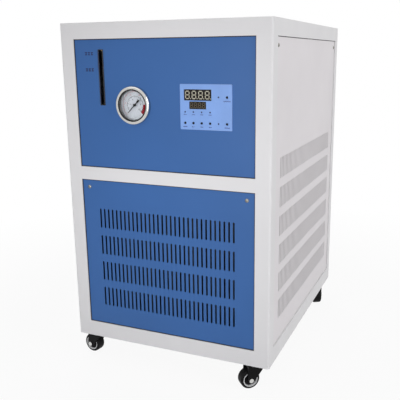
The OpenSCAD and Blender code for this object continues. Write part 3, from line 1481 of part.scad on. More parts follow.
front_frame();
rear_frame();
side_rails();
base_tray();
top_cover();
middle_shelf();
side_panel_left();
side_panel_right();
rear_panel();
front_panel_upper();
front_panel_lower();
panel_screws();
control_overlay();
display_modules();
indicator_lamps();
control_board();
board_standoffs();
button_set();
button_shift();
button_down();
button_up();
button_cool();
button_power();
gauge_case();
gauge_bezel();
gauge_window();
gauge_dial();
gauge_pointer();
gauge_socket();
level_tube();
level_elbows();
castor_plates();
castor_bolts();
castor_fork_fl();
castor_fork_fr();
castor_fork_rl();
castor_fork_rr();
castor_wheel_fl();
castor_wheel_fr();
castor_wheel_rl();
castor_wheel_rr();
compressor();
compressor_mounts();
condenser();
air_guides();
fan_shroud();
fan_motor();
fan_blades();
reservoir();
reservoir_lid();
evaporator_coil();
filler_cap();
pump();
refrigerant_lines();
coolant_hoses();
coolant_ports();
drain_valve();
drain_lever();
cable_gland();
electrical_box();
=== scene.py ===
# Recirculating chiller: finishes, printed marks, seals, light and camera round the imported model
import json
import math

import bmesh
import bpy
from mathutils import Matrix, Vector


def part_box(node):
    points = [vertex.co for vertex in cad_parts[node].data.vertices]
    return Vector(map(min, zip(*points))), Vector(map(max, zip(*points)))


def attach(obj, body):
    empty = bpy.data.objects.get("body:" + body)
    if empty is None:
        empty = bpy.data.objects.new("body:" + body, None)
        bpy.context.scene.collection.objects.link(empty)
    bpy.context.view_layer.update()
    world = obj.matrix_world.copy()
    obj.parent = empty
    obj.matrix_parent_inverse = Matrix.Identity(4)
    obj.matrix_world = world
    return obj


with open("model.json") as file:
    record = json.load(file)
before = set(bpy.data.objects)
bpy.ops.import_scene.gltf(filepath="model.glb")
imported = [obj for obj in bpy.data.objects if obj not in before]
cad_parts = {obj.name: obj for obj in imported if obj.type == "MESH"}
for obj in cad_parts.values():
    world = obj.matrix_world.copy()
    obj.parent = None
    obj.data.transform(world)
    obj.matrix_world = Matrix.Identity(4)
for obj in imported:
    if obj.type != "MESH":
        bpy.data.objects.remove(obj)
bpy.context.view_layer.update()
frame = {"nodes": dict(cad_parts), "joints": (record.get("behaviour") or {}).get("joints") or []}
nodes = frame["nodes"]

MM = 0.001
TAU = 2 * math.pi

# The cabinet's own measure: x from its middle, y back from its front plane, z up from its bottom
low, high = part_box("front_frame")
cabinet_x = (low.x + high.x) / 2
cabinet_y = low.y
cabinet_z = low.z


def at(x, y, z):
    """A point given in the cabinet's millimetres, in metres."""
    return Vector((cabinet_x + x * MM, cabinet_y + y * MM, cabinet_z + z * MM))


# Faces that the printing lies on, and the thickness of its ink
pad_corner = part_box("control_overlay")[0]
panel_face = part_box("front_panel_upper")[0].y
dial_low, dial_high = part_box("gauge_dial")
dial_middle = (dial_low + dial_high) / 2
dial_centre = Vector((dial_middle.x, dial_low.y, dial_middle.z))
PRINT = 0.06 * MM


# Colours and the nodes of a material

def paint(r, g, b):
    """A colour read as 0 to 255 on a screen, as the shader wants it."""
    def one(v):
        v /= 255
        return v / 12.92 if v <= 0.04045 else ((v + 0.055) / 1.055) ** 2.4
    return (one(r), one(g), one(b), 1.0)


def shade(colour, k):
    """A colour made k times as bright."""
    return tuple(min(1.0, c * k) for c in colour[:3]) + (1.0,)


class Finish:
    """One material, with short words for the nodes that the finishes below share."""

    def __init__(self, name):
        self.material = bpy.data.materials.new(name)
        self.material.use_nodes = True
        tree = self.material.node_tree
        self.nodes, self.links = tree.nodes, tree.links
        self.shader = self.nodes["Principled BSDF"]
        self.place = self.nodes.new("ShaderNodeTexCoord").outputs["Object"]
        self.bumps = None

    def put(self, socket, value):
        """Sets a plain value on the shader."""
        self.shader.inputs[socket].default_value = value
        return self

    def join(self, output, socket):
        """Leads a node's output to the shader."""
        self.links.new(output, self.shader.inputs[socket])

    def moved(self, scale=(1, 1, 1), offset=(0, 0, 0)):
        """Object coordinates, stretched or shifted."""
        m = self.nodes.new("ShaderNodeMapping")
        m.inputs["Location"].default_value = offset
        m.inputs["Scale"].default_value = scale
        self.links.new(self.place, m.inputs["Vector"])
        return m.outputs["Vector"]

    def noise(self, scale, detail=2.0, rough=0.5, where=None):
        n = self.nodes.new("ShaderNodeTexNoise")
        n.inputs["Scale"].default_value = scale
        n.inputs["Detail"].default_value = detail
        n.inputs["Roughness"].default_value = rough
        self.links.new(where or self.place, n.inputs["Vector"])
        return n.outputs["Fac"]

    def cells(self, scale):
        n = self.nodes.new("ShaderNodeTexVoronoi")
        n.inputs["Scale"].default_value = scale
        self.links.new(self.place, n.inputs["Vector"])
        return n.outputs["Distance"]

    def ranged(self, value, a, b, c, d):
        """Maps a value from a..b to c..d, held at both ends."""
        n = self.nodes.new("ShaderNodeMapRange")
        for socket, v in (("From Min", a), ("From Max", b), ("To Min", c), ("To Max", d)):
            n.inputs[socket].default_value = v
        self.links.new(value, n.inputs["Value"])
        return n.outputs["Result"]

    def drift(self, scale, detail=3.0):
        """A noise spread over the whole range from 0 to 1."""
        return self.ranged(self.noise(scale, detail), 0.3, 0.7, 0.0, 1.0)

    def calc(self, kind, a, b=0):
        """Works out one step, on outputs of nodes or plain numbers."""
        n = self.nodes.new("ShaderNodeMath")
        n.operation = kind
        for socket, v in ((0, a), (1, b)):
            if isinstance(v, (int, float)):
                n.inputs[socket].default_value = v
            else:
                self.links.new(v, n.inputs[socket])
        return n.outputs["Value"]

    def between(self, share, first, second):
        """A colour between two, by a share from 0 to 1."""
        n = self.nodes.new("ShaderNodeMix")
        n.data_type = "RGBA"
        self.links.new(share, n.inputs["Factor"])
        for socket, v in ((6, first), (7, second)):
            if isinstance(v, tuple):
                n.inputs[socket].default_value = v
            else:
                self.links.new(v, n.inputs[socket])
        return n.outputs[2]

    def split(self, where=None):
        """The three parts of a place."""
        n = self.nodes.new("ShaderNodeSeparateXYZ")
        self.links.new(where or self.place, n.inputs["Vector"])
        return n.outputs

    def radius(self, part):
        """The distance from an axis along y, from the parts of a place that is measured from it."""
        squares = self.calc("ADD", self.calc("MULTIPLY", part[0], part[0]),
                            self.calc("MULTIPLY", part[2], part[2]))
        return self.calc("SQRT", squares)

    def from_axle(self, middle, turn):
        """The parts of a place measured from an axle's middle, on a castor that stands turned."""
        back = self.nodes.new("ShaderNodeVectorRotate")
        back.rotation_type = "Z_AXIS"
        back.inputs["Center"].default_value = tuple(middle)
        back.inputs["Angle"].default_value = -turn
        self.links.new(self.place, back.inputs["Vector"])
        away = self.nodes.new("ShaderNodeVectorMath")
        away.operation = "SUBTRACT"
        away.inputs[1].default_value = tuple(middle)
        self.links.new(back.outputs["Vector"], away.inputs[0])
        return self.split(away.outputs["Vector"])

    def bump(self, height, strength, depth):
        """Adds a relief to those already there."""
        n = self.nodes.new("ShaderNodeBump")
        n.inputs["Strength"].default_value = strength
        n.inputs["Distance"].default_value = depth
        self.links.new(height, n.inputs["Height"])
        if self.bumps:
            self.links.new(self.bumps, n.inputs["Normal"])
        self.bumps = n.outputs["Normal"]
        self.links.new(self.bumps, self.shader.inputs["Normal"])


# Kinds of finish

def powder_coat(name, colour, rough=0.42, spread=0.035, peel=0.25):
    """Powder coat: orange peel, a slow drift of tone and a few dull patches."""
    f = Finish(name)
    grain = f.ranged(f.noise(900, 1.0), 0.35, 0.65, 0.0, 1.0)
    tone = f.between(f.drift(5.5), shade(colour, 1 - spread), shade(colour, 1 + spread))
    f.join(f.between(f.ranged(grain, 0, 1, 0.0, 0.25), tone, shade(colour, 0.97)), "Base Color")
    f.join(f.ranged(f.noise(14, 4.0, 0.6), 0.3, 0.7, rough - 0.05, rough + 0.07), "Roughness")
    f.bump(f.noise(520, 2.0), peel, 0.00012)
    f.bump(f.noise(2600, 1.0), peel * 0.5, 0.00004)
    f.put("Specular IOR Level", 0.45)
    return f


def shade_slot_walls(f, face):
    """Gives the walls of a panel's slots, behind its face, an almost black colour: painted shade in the
    slots.
    """
    coat = f.shader.inputs["Base Color"].links[0].from_socket
    behind = f.calc("GREATER_THAN", f.split()[1], face + 0.25 * MM)
    f.join(f.between(behind, coat, paint(7, 13, 30)), "Base Color")


def moulded(name, colour, rough=0.5, grain=1400):
    """Moulded plastic with a spark-eroded grain."""
    f = Finish(name)
    f.join(f.between(f.drift(40), shade(colour, 0.88), shade(colour, 1.14)), "Base Color")
    f.join(f.ranged(f.noise(180, 3.0), 0.3, 0.7, rough - 0.07, rough + 0.08), "Roughness")
    f.bump(f.cells(grain), 0.22, 0.00006)
    return f


def printing_ink(name, colour):
    """A dull printing ink with a very fine grain."""
    return moulded(name, colour, 0.5, 4000)


def bare_metal(name, colour, rough=0.3, along=(1, 1, 1), streak=0.25):
    """Drawn or brushed metal: streaks along one way, and slow smudges."""
    f = Finish(name)
    lines = f.noise(1.0, 3.0, 0.6, f.moved(scale=tuple(900 * a for a in along)))
    f.join(f.between(f.drift(22, 4.0), shade(colour, 0.93), shade(colour, 1.05)), "Base Color")
    f.join(f.ranged(lines, 0.3, 0.7, rough - 0.07, rough + 0.1), "Roughness")
    f.bump(lines, streak, 0.00003)
    f.put("Metallic", 1.0)
    return f


def zinc_plate(name, colour):
    """Galvanised sheet with its large crystals."""
    f = Finish(name)
    crystal = f.nodes.new("ShaderNodeTexVoronoi")
    crystal.inputs["Scale"].default_value = 110
    f.links.new(f.place, crystal.inputs["Vector"])
    tone = f.split(crystal.outputs["Color"])[0]
    f.join(f.between(tone, shade(colour, 0.82), shade(colour, 1.1)), "Base Color")
    f.join(f.ranged(tone, 0, 1, 0.34, 0.5), "Roughness")
    f.bump(f.noise(700, 2.0), 0.12, 0.00005)
    f.put("Metallic", 1.0)
    return f


def black_rubber(name, colour=(26, 26, 27), rough=0.62):
    """Black rubber with a little pale dust."""
    f = Finish(name)
    base = paint(*colour)
    dust = f.ranged(f.noise(120, 5.0, 0.65), 0.45, 0.75, 0.0, 1.0)
    f.join(f.between(dust, base, shade(base, 1.9)), "Base Color")
    f.join(f.ranged(dust, 0, 1, rough, rough + 0.16), "Roughness")
    f.bump(f.noise(1500, 2.0), 0.25, 0.00006)
    return f


def clear_glass(name, tint, rough, ior):
    """Clear glass or plastic with faint smears."""
    f = Finish(name)
    f.put("Base Color", tint).put("Transmission Weight", 1.0).put("IOR", ior)
    f.join(f.ranged(f.noise(60, 4.0), 0.4, 0.75, rough, rough + 0.04), "Roughness")
    f.bump(f.noise(35, 1.0), 0.03, 0.00003)
    return f


def pad_foil(name, colour):
    """The pad's printed polyester film, with a fine texture."""
    f = Finish(name)
    f.join(f.between(f.drift(28), shade(colour, 0.95), shade(colour, 1.05)), "Base Color")
    f.join(f.ranged(f.noise(90, 3.0), 0.3, 0.7, 0.36, 0.48), "Roughness")
    f.bump(f.noise(3800, 1.0), 0.25, 0.00003)
    return f


def lamp_resin(name, dark, light):
    """The clouded resin of unlit lamps."""
    f = Finish(name)
    f.join(f.between(f.drift(700, 2.0), dark, light), "Base Color")
    f.put("Roughness", 0.35).put("Specular IOR Level", 0.2)
    return f


# The unlit segments lie between these depths behind the display's face, and the lower display's
# top is at this height over the pad's lower edge
SEGMENT_NEAR, SEGMENT_FAR = 0.15 * MM, 0.6 * MM
LOWER_DISPLAY_TOP, DISPLAY_SPLIT = 47.6 * MM, 48.4 * MM


def display_face(name, face, segment, node):
    """Dark tinted faces with unlit segments, each an upper and a lower tone."""
    f = Finish(name)
    part = f.split()
    depth, height = part[1], part[2]
    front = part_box(node)[0].y
    inside = f.calc("MULTIPLY", f.calc("GREATER_THAN", depth, front + SEGMENT_NEAR),
                    f.calc("LESS_THAN", depth, front + SEGMENT_FAR))
    fleck = f.ranged(f.noise(900, 2.0), 0.3, 0.7, 0.0, 1.0)
    lower = f.ranged(height, pad_corner.z + LOWER_DISPLAY_TOP, pad_corner.z + DISPLAY_SPLIT, 1.0, 0.0)
    bars = f.between(lower, segment[0], segment[1])
    faces = f.between(lower, face[0], face[1])
    dark = f.between(fleck, faces, f.between(fleck, faces, shade(face[0], 1.3)))
    f.join(f.between(inside, dark, bars), "Base Color")
    f.join(f.ranged(inside, 0, 1, 0.22, 0.45), "Roughness")
    f.put("Specular IOR Level", 0.12)
    return f


def turned_bezel(name, middle, shade_r):
    """Polished stainless with the lathe's fine rings, and painted shade: a dark lip inside a radius."""
    f = Finish(name)
    part = f.split(f.moved(offset=tuple(-middle)))
    r = f.radius(part)
    ring = f.nodes.new("ShaderNodeCombineXYZ")
    f.links.new(r, ring.inputs[0])
    f.links.new(part[1], ring.inputs[1])
    turned = f.noise(2400, 2.0, 0.6, ring.outputs[0])
    # Painted shade: inside the radius the bezel is near black and not metallic
    shaded_lip = f.calc("LESS_THAN", r, shade_r)
    steel = f.between(f.ranged(turned, 0.3, 0.7, 0, 1), paint(191, 190, 187), paint(207, 206, 203))
    f.join(f.between(shaded_lip, steel, paint(22, 22, 24)), "Base Color")
    f.join(f.calc("SUBTRACT", 1.0, shaded_lip), "Metallic")
    f.join(f.ranged(turned, 0.3, 0.7, 0.12, 0.22), "Roughness")
    f.bump(turned, 0.16, 0.00003)
    return f


def dial_paint(name, dark, light):
    """The dial's dull light paint."""
    f = Finish(name)
    f.join(f.between(f.drift(60), dark, light), "Base Color")
    f.join(f.ranged(f.noise(300, 2.0), 0.3, 0.7, 0.5, 0.62), "Roughness")
    f.bump(f.noise(2600, 1.0), 0.1, 0.00002)
    return f


# Castors: the light ring's two radii and how far out its face is, then the same of an axle's head
RING_R0, RING_R1, RING_OUT = 11.6 * MM, 13.9 * MM, 7.0 * MM
HEAD_R, HEAD_OUT = 4.3 * MM, 12.1 * MM


def wheel_look(node, middle, turn):
    """Black tyre, a light ring and a dark hub, told apart by the distance from the axle."""
    f = Finish("castor wheel " + node[-2:])
    part = f.from_axle(middle, turn)
    r = f.radius(part)
    between_radii = f.calc("MULTIPLY", f.calc("GREATER_THAN", r, RING_R0), f.calc("LESS_THAN", r, RING_R1))
    ring = f.calc("MULTIPLY", between_radii, f.calc("GREATER_THAN", f.calc("ABSOLUTE", part[1]), RING_OUT))
    hub = f.calc("LESS_THAN", r, RING_R0)
    dust = f.ranged(f.noise(260, 5.0, 0.65), 0.42, 0.72, 0.0, 1.0)
    tyre = f.between(dust, paint(10, 10, 11), paint(26, 26, 26))
    grey = f.between(dust, paint(206, 207, 209), paint(182, 182, 182))
    plastic = f.between(dust, paint(10, 10, 11), paint(22, 22, 24))
    f.join(f.between(hub, f.between(ring, tyre, grey), plastic), "Base Color")
    f.join(f.ranged(dust, 0, 1, 0.48, 0.66), "Roughness")
    f.bump(f.noise(1300, 2.0), 0.2, 0.00006)
    f.put("Specular IOR Level", 0.1)
    return f


def fork_look(node, middle, turn):
    """Glossy black lacquer, with the bright heads of the axle on the outside of the legs."""
    f = Finish("castor fork " + node[-2:])
    part = f.from_axle(middle, turn)
    head = f.calc("MULTIPLY", f.calc("LESS_THAN", f.radius(part), HEAD_R),
                  f.calc("GREATER_THAN", f.calc("ABSOLUTE", part[1]), HEAD_OUT))
    grain = f.ranged(f.noise(420, 3.0), 0.35, 0.65, 0.0, 1.0)
    lacquer = f.between(grain, paint(6, 6, 7), paint(12, 12, 13))
    f.join(f.between(head, lacquer, paint(206, 206, 204)), "Base Color")
    f.join(head, "Metallic")
    f.join(f.ranged(grain, 0, 1, 0.2, 0.28), "Roughness")
    f.bump(f.noise(520, 2.0), 0.2, 0.00006)
    f.put("Specular IOR Level", 0.1)
    return f


# Finishes of the cabinet
frame_white = powder_coat("white powder coat", paint(214, 213, 215), 0.4, 0.018, 0.3)
side_white = powder_coat("white powder coat of the side panels", paint(216, 212, 215), 0.44, 0.022, 0.34)
front_blue = powder_coat("blue powder coat", paint(52, 95, 155), 0.42, 0.05, 0.34)
front_blue.put("Specular IOR Level", 0.28)
# Painted shade: the walls of the blue panels' slots are coloured almost black
shade_slot_walls(front_blue, panel_face)
box_grey = powder_coat("light grey enamel", paint(196, 197, 197), 0.45, 0.03, 0.25)
zinc_sheet = zinc_plate("galvanised sheet", paint(188, 190, 190))
screw_metal = bare_metal("nickel plated screws", paint(134, 132, 126), 0.3, (1, 1, 1), 0.2)
# Black strips paint shade in gaps and round the slot and gauge; light grey strips paint a highlight
shade_black = black_rubber("black painted shade strips", (22, 22, 24), 0.7)
gap_highlight = moulded("light grey painted highlight strips of the side panels", paint(214, 213, 214), 0.6, 1400)

# Finishes of the pad and of the printing
pad_film = pad_foil("periwinkle film of the pad", paint(119, 156, 218))
button_black = moulded("black button stems", paint(7, 7, 10), 0.5, 2600)
button_black.put("Specular IOR Level", 0.15)
lamp_body = lamp_resin("diffused lamp bodies", paint(24, 30, 62), paint(38, 44, 80))
display_look = display_face("display face with unlit segments", (paint(36, 33, 32), paint(34, 31, 29)),
                            (paint(186, 182, 166), paint(108, 98, 78)), "display_modules")
board_green = moulded("green circuit board", paint(28, 84, 52), 0.35, 900)
ink_dark = printing_ink("dark printing ink", paint(50, 64, 122))
ink_navy = printing_ink("navy printing ink", paint(20, 34, 84))
ink_black = printing_ink("black printing ink", paint(24, 24, 27))
ink_red = printing_ink("red printing ink", paint(138, 6, 24))
ink_rose = printing_ink("rose printing ink", paint(188, 118, 122))
for ink in (ink_black, ink_red, ink_rose):
    ink.put("Specular IOR Level", 0.08)

# Finishes of the gauge and of the level sight
bezel_metal = turned_bezel("polished stainless bezel", dial_middle, 28.3 * MM)
dial_card = dial_paint("light dial", paint(188, 192, 198), paint(200, 203, 209))
pointer_black = moulded("black painted pointer", paint(4, 4, 5), 0.5, 2500)
pointer_black.put("Specular IOR Level", 0.08)
window_glass = clear_glass("clear gauge glass", (0.97, 0.98, 0.99, 1.0), 0.02, 1.18)
case_steel = bare_metal("drawn steel case", paint(178, 178, 176), 0.32, (1, 1, 0.05))
turned_brass = bare_metal("turned brass", paint(196, 164, 92), 0.28, (0.2, 1, 0.2))
sight_clear = clear_glass("clear sight tube", (0.82, 0.87, 0.9, 1.0), 0.05, 1.49)

# Finishes of the castors, and of what stands inside and behind
castor_coat = powder_coat("black lacquered castor steel", paint(8, 8, 9), 0.3, 0.08, 0.25)
castor_coat.put("Specular IOR Level", 0.1)
compressor_enamel = powder_coat("black compressor enamel", paint(24, 24, 25), 0.34, 0.1, 0.4)
pump_enamel = powder_coat("dark blue pump enamel", paint(44, 62, 92), 0.4, 0.07, 0.35)
fin_metal = powder_coat("dark coated fins", paint(46, 47, 49), 0.5, 0.05, 0.3)
shroud_plastic = moulded("black shroud plastic", paint(26, 26, 27), 0.55, 900)
tank_metal = bare_metal("brushed tank steel", paint(182, 183, 184), 0.3, (0.05, 1, 1), 0.3)
copper_tube = bare_metal("drawn copper", paint(186, 112, 74), 0.3, (0.3, 0.3, 0.3), 0.2)
cap_plastic = moulded("black filler cap", paint(28, 28, 29), 0.48, 1100)
hose_rubber = black_rubber("black hose")
mount_rubber = black_rubber("black rubber mounts", (30, 30, 30), 0.7)
port_metal = bare_metal("machined stainless ports", paint(196, 197, 198), 0.22, (0.1, 1, 0.1), 0.2)
lever_dip = moulded("red dipped lever", paint(156, 30, 28), 0.38, 1500)
gland_nylon = moulded("black nylon gland", paint(26, 26, 27), 0.45, 1500)
motor_metal = bare_metal("cast motor shell", paint(150, 152, 154), 0.42, (1, 1, 1), 0.5)

looks = {
    "front_frame": frame_white, "rear_frame": frame_white, "side_rails": frame_white,
    "top_cover": frame_white, "side_panel_left": side_white, "side_panel_right": side_white,
    "rear_panel": side_white, "front_panel_upper": front_blue, "front_panel_lower": front_blue,
    "electrical_box": box_grey, "base_tray": zinc_sheet, "middle_shelf": zinc_sheet,
    "board_standoffs": zinc_sheet, "panel_screws": screw_metal, "castor_bolts": screw_metal,
    "control_overlay": pad_film, "display_modules": display_look, "indicator_lamps": lamp_body,
    "control_board": board_green, "gauge_case": case_steel, "gauge_bezel": bezel_metal,
    "gauge_window": window_glass, "gauge_dial": dial_card, "gauge_pointer": pointer_black,
    "gauge_socket": turned_brass, "level_tube": sight_clear, "level_elbows": turned_brass,
    "castor_plates": castor_coat, "compressor": compressor_enamel, "compressor_mounts": mount_rubber,
    "condenser": fin_metal, "air_guides": fin_metal, "fan_shroud": shroud_plastic,
    "fan_blades": shroud_plastic, "fan_motor": motor_metal, "reservoir": tank_metal,
    "reservoir_lid": tank_metal, "evaporator_coil": copper_tube, "filler_cap": cap_plastic,
    "pump": pump_enamel,
    "refrigerant_lines": copper_tube, "coolant_hoses": hose_rubber, "coolant_ports": port_metal,
    "drain_valve": turned_brass, "drain_lever": lever_dip, "cable_gland": gland_nylon,
}
for name in nodes:
    if name.startswith("button_"):
        looks[name] = button_black

# A castor's wheel and fork take their colours from the place and direction of its axle
for joint in frame["joints"]:
    if joint["name"].startswith("wheel_roll"):
        corner = joint["name"][-2:]
        axis = joint["axis"]
        turn = math.atan2(-axis[0], axis[1])
        for look, node in ((wheel_look, "castor_wheel_" + corner), (fork_look, "castor_fork_" + corner)):
            looks[node] = look(node, joint["pos_m"], turn)

for name, obj in nodes.items():
    if name not in looks:
        raise SystemExit("no finish for " + name)
    if not obj.material_slots:
        obj.data.materials.append(None)
    for place in obj.material_slots:
        place.material = looks[name].material


# Shapes that the printing and the trim are made of

def finish_piece(bm, name, look, body):
    """Makes a mesh of what was modelled, in place, and gives it its finish."""
    bmesh.ops.recalc_face_normals(bm, faces=bm.faces)
    mesh = bpy.data.meshes.new(name)
    bm.to_mesh(mesh)
    bm.free()
    piece = bpy.data.objects.new(name, mesh)
    bpy.context.scene.collection.objects.link(piece)
    mesh.materials.append(look.material)
    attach(piece, body)


def bar(bm, middle, w, h, angle=0.0):
    """A printed bar in an upright plane, turned about the line of sight."""
    place = Matrix.Translation(middle) @ Matrix.Rotation(-angle, 4, "Y")
    made = bmesh.ops.create_cube(bm, size=1.0)
    bmesh.ops.scale(bm, vec=(w, PRINT, h), verts=made["verts"])
    bmesh.ops.transform(bm, matrix=place, verts=made["verts"])


def disc(bm, middle, r, sides, angle=0.0):
    """A printed disc, or a triangle with three sides."""
    upright = Matrix.Rotation(-angle, 4, "Y") @ Matrix.Rotation(math.pi / 2, 4, "X")
    place = Matrix.Translation(middle) @ upright
    bmesh.ops.create_cone(bm, cap_ends=True, segments=sides, radius1=r, radius2=r, depth=PRINT, matrix=place)


def band(bm, middle, r0, r1, a0, a1, steps, thick=PRINT):
    """A ring or a piece of one, spun from its section, angles anticlockwise from the right."""
    made = bmesh.ops.create_grid(bm, x_segments=1, y_segments=1, size=0.5)
    section = Matrix.Translation(middle + Vector(((r0 + r1) / 2, 0, 0)))
    bmesh.ops.scale(bm, vec=(r1 - r0, thick, 1), verts=made["verts"])
    bmesh.ops.transform(bm, matrix=section, verts=made["verts"])
    bmesh.ops.rotate(bm, cent=middle, matrix=Matrix.Rotation(-a0, 3, "Y"), verts=made["verts"])
    face = made["verts"][0].link_faces[0]
    whole = abs(abs(a1 - a0) - TAU) < 1e-6
    bmesh.ops.spin(bm, geom=list(made["verts"]) + list(face.edges) + [face], cent=middle, axis=(0, 1, 0),
                   angle=-(a1 - a0), steps=steps, use_merge=whole)


def strip(bm, corner_a, corner_b):
    """A straight length of seal between two corners given in the cabinet's millimetres."""
    a, b = at(*corner_a), at(*corner_b)
    made = bmesh.ops.create_cube(bm, size=1.0)
    bmesh.ops.scale(bm, vec=b - a, verts=made["verts"])
    bmesh.ops.translate(bm, vec=(a + b) / 2, verts=made["verts"])


# Printing of the dial, with radii in millimetres from its middle
SCALE_START, SCALE_SWEEP = 225, 270
RED_R0, RED_R1 = 16.2, 22.0
RED_FROM, RED_TO = -48, 4
RED_PROUD = 0.02


def on_dial(r, degrees):
    """A place on the dial, by its distance in millimetres and its angle."""
    a = math.radians(degrees)
    return Vector((dial_middle.x + r * MM * math.cos(a), dial_low.y, dial_middle.z + r * MM * math.sin(a)))


def dial_angle(share):
    """Where a share of the scale lies: from lower left, clockwise to lower right."""
    return SCALE_START - SCALE_SWEEP * share


def scale_marks(bm, steps, every, outer, long_from, short_from, wide, thin):
    """Marks along the scale's sweep, each so many a long and wide one."""
    for i in range(steps + 1):
        long = i % every == 0
        inner = long_from if long else short_from
        degrees = dial_angle(i / steps)
        bar(bm, on_dial((inner + outer) / 2, degrees), (outer - inner) * MM, (wide if long else thin) * MM,
            math.radians(degrees))


def scale_line(bm, r0, r1):
    """The thin line that runs along a scale's marks."""
    band(bm, dial_centre, r0 * MM, r1 * MM, math.radians(dial_angle(1)), math.radians(dial_angle(0)), 90)


def numerals(name, step, count, r, size, look):
    """Plain numbers set upright along the scale, a fifth of it apart."""
    bm = bmesh.new()
    for i in range(count):
        curve = bpy.data.curves.new(name, "FONT")
        curve.body = str(step * i)
        curve.size = size * MM
        curve.align_x = "CENTER"
        curve.align_y = "CENTER"
        curve.extrude = PRINT / 2
        curve.resolution_u = 2
        carrier = bpy.data.objects.new(name, curve)
        bpy.context.scene.collection.objects.link(carrier)
        bpy.context.view_layer.update()
        shaped = carrier.evaluated_get(bpy.context.evaluated_depsgraph_get())
        mesh = bpy.data.meshes.new_from_object(shaped)
        bpy.data.objects.remove(carrier)
        place = Matrix.Translation(on_dial(r, dial_angle(i / 5)))
        mesh.transform(place @ Matrix.Rotation(math.pi / 2, 4, "X"))
        bm.from_mesh(mesh)
        bpy.data.meshes.remove(mesh)
    bmesh.ops.remove_doubles(bm, verts=bm.verts, dist=1e-7)
    finish_piece(bm, name, look, "cabinet")


bm = bmesh.new()
scale_marks(bm, steps=50, every=5, outer=15.9, long_from=13.2, short_from=14.4, wide=0.5, thin=0.26)
scale_line(bm, 15.8, 16.15)
disc(bm, dial_centre, 2.2 * MM, 32)
finish_piece(bm, "dial_inner_scale", ink_black, "cabinet")

bm = bmesh.new()
scale_marks(bm, steps=72, every=6, outer=24.4, long_from=22.4, short_from=23.0, wide=0.5, thin=0.3)
scale_line(bm, 24.2, 24.6)
finish_piece(bm, "dial_outer_scale", ink_rose, "cabinet")

bm = bmesh.new()
red_centre = Vector((dial_middle.x, dial_low.y - RED_PROUD * MM, dial_middle.z))
band(bm, red_centre, RED_R0 * MM, RED_R1 * MM, math.radians(RED_FROM), math.radians(RED_TO), 24)
finish_piece(bm, "dial_red_band", ink_red, "cabinet")

numerals("dial_numerals", 2, 6, 10.6, 4.2, ink_black)
numerals("dial_outer_numerals", 30, 4, 19.4, 3.4, ink_rose)

# Printing of the pad, in millimetres from its lower left corner: a small sign under each button
# and short dashes under each lamp
FIRST_BUTTON_X, BUTTON_PITCH = 9.0, 15.3
LOWER_SIGNS_Z, MIDDLE_SIGNS_Z, UPPER_SIGN_Z = 4.9, 25.4, 48.4
TRIANGLE_R = 1.5


def on_pad(x, z):
    return Vector((pad_corner.x + x * MM, pad_corner.y, pad_corner.z + z * MM))


def button_x(i):
    return FIRST_BUTTON_X + i * BUTTON_PITCH


def dashes(bm, x, z, count, step, high):
    """A row of short upright dashes about a place on the pad, every other one a little lower."""
    for k in range(count):
        tall = high * (1 if k % 2 else 0.8)
        bar(bm, on_pad(x + (k - (count - 1) / 2) * step, z), 0.62 * step * MM, tall * MM)


def triangle(bm, x, degrees):
    """A small triangle in the lower row of signs, which points along its angle."""
    disc(bm, on_pad(x, LOWER_SIGNS_Z), TRIANGLE_R * MM, 3, math.radians(degrees))


bm = bmesh.new()
dashes(bm, button_x(0), LOWER_SIGNS_Z, 5, 1.6, 2.2)
triangle(bm, button_x(1) - 1.4, 90)
bar(bm, on_pad(button_x(1) + 1.3, LOWER_SIGNS_Z), 2.4 * MM, 0.7 * MM)
for i, degrees in ((2, 180), (3, 0)):
    triangle(bm, button_x(i) - 1.2, degrees)
    bar(bm, on_pad(button_x(i) + 1.6, LOWER_SIGNS_Z), 2.0 * MM, 1.2 * MM)
dashes(bm, button_x(5), LOWER_SIGNS_Z, 6, 1.6, 2.2)
dashes(bm, button_x(5), UPPER_SIGN_Z, 8, 1.6, 2.2)
for i in range(4):
    dashes(bm, button_x(i), MIDDLE_SIGNS_Z, 4, 1.4, 1.7)
finish_piece(bm, "pad_signs", ink_dark, "cabinet")

# Marks beside the level slot: a thin line, and a row of three small signs at the high and low marks
SLOT_X = -117.8
LINE_Z, HIGH_Z, LOW_Z = 535, 547, 519
LINE_OFF, SIGNS_OFF, SIGN_STEP = 6.3, 17.6, 6.3


def on_panel(x, z):
    point = at(x, 0, z)
    return Vector((point.x, panel_face, point.z))


bm = bmesh.new()
bar(bm, on_panel(SLOT_X - LINE_OFF, LINE_Z), 0.4 * MM, 32 * MM)
for z in (HIGH_Z, LOW_Z):
    for k in range(3):
        sign_x = SLOT_X - SIGNS_OFF - k * SIGN_STEP
        bar(bm, on_panel(sign_x, z + 1.8), 4.8 * MM, 1.6 * MM)
        bar(bm, on_panel(sign_x, z - 1.9), 4.4 * MM, 1.6 * MM)
        bar(bm, on_panel(sign_x + 0.4 * (k - 1), z), 1.8 * MM, 5.4 * MM)
finish_piece(bm, "level_marks", ink_navy, "cabinet")

# Black strips in the gaps round the inset panels, in the cabinet's millimetres: painted shade of the gaps.
# A front strip fills the gap from its face back to the seat, and its lip lies on the panel's edge.
WINDOW_X = 172.0
UPPER_WINDOW_Z = (343.0, 572.0)
LOWER_WINDOW_Z = (30.5, 319.0)
EASE, FILL, LIP = 0.05, 0.9, 1.4
STRIP_FACE, LIP_BACK, SEAT = 1.3, 1.95, 3.1
SIDE_OUT, SIDE_IN = 198.9, 196.9
SIDE_Y0, SIDE_Y1 = 25.2, 464.8
TOP_Z0, TOP_Z1 = 571.1, 571.95
FOOT_Z0, FOOT_Z1 = 30.55, 31.4
BACK_Y0, BACK_Y1 = 464.1, 464.95
SIDES = ((1, "right"), (-1, "left"))


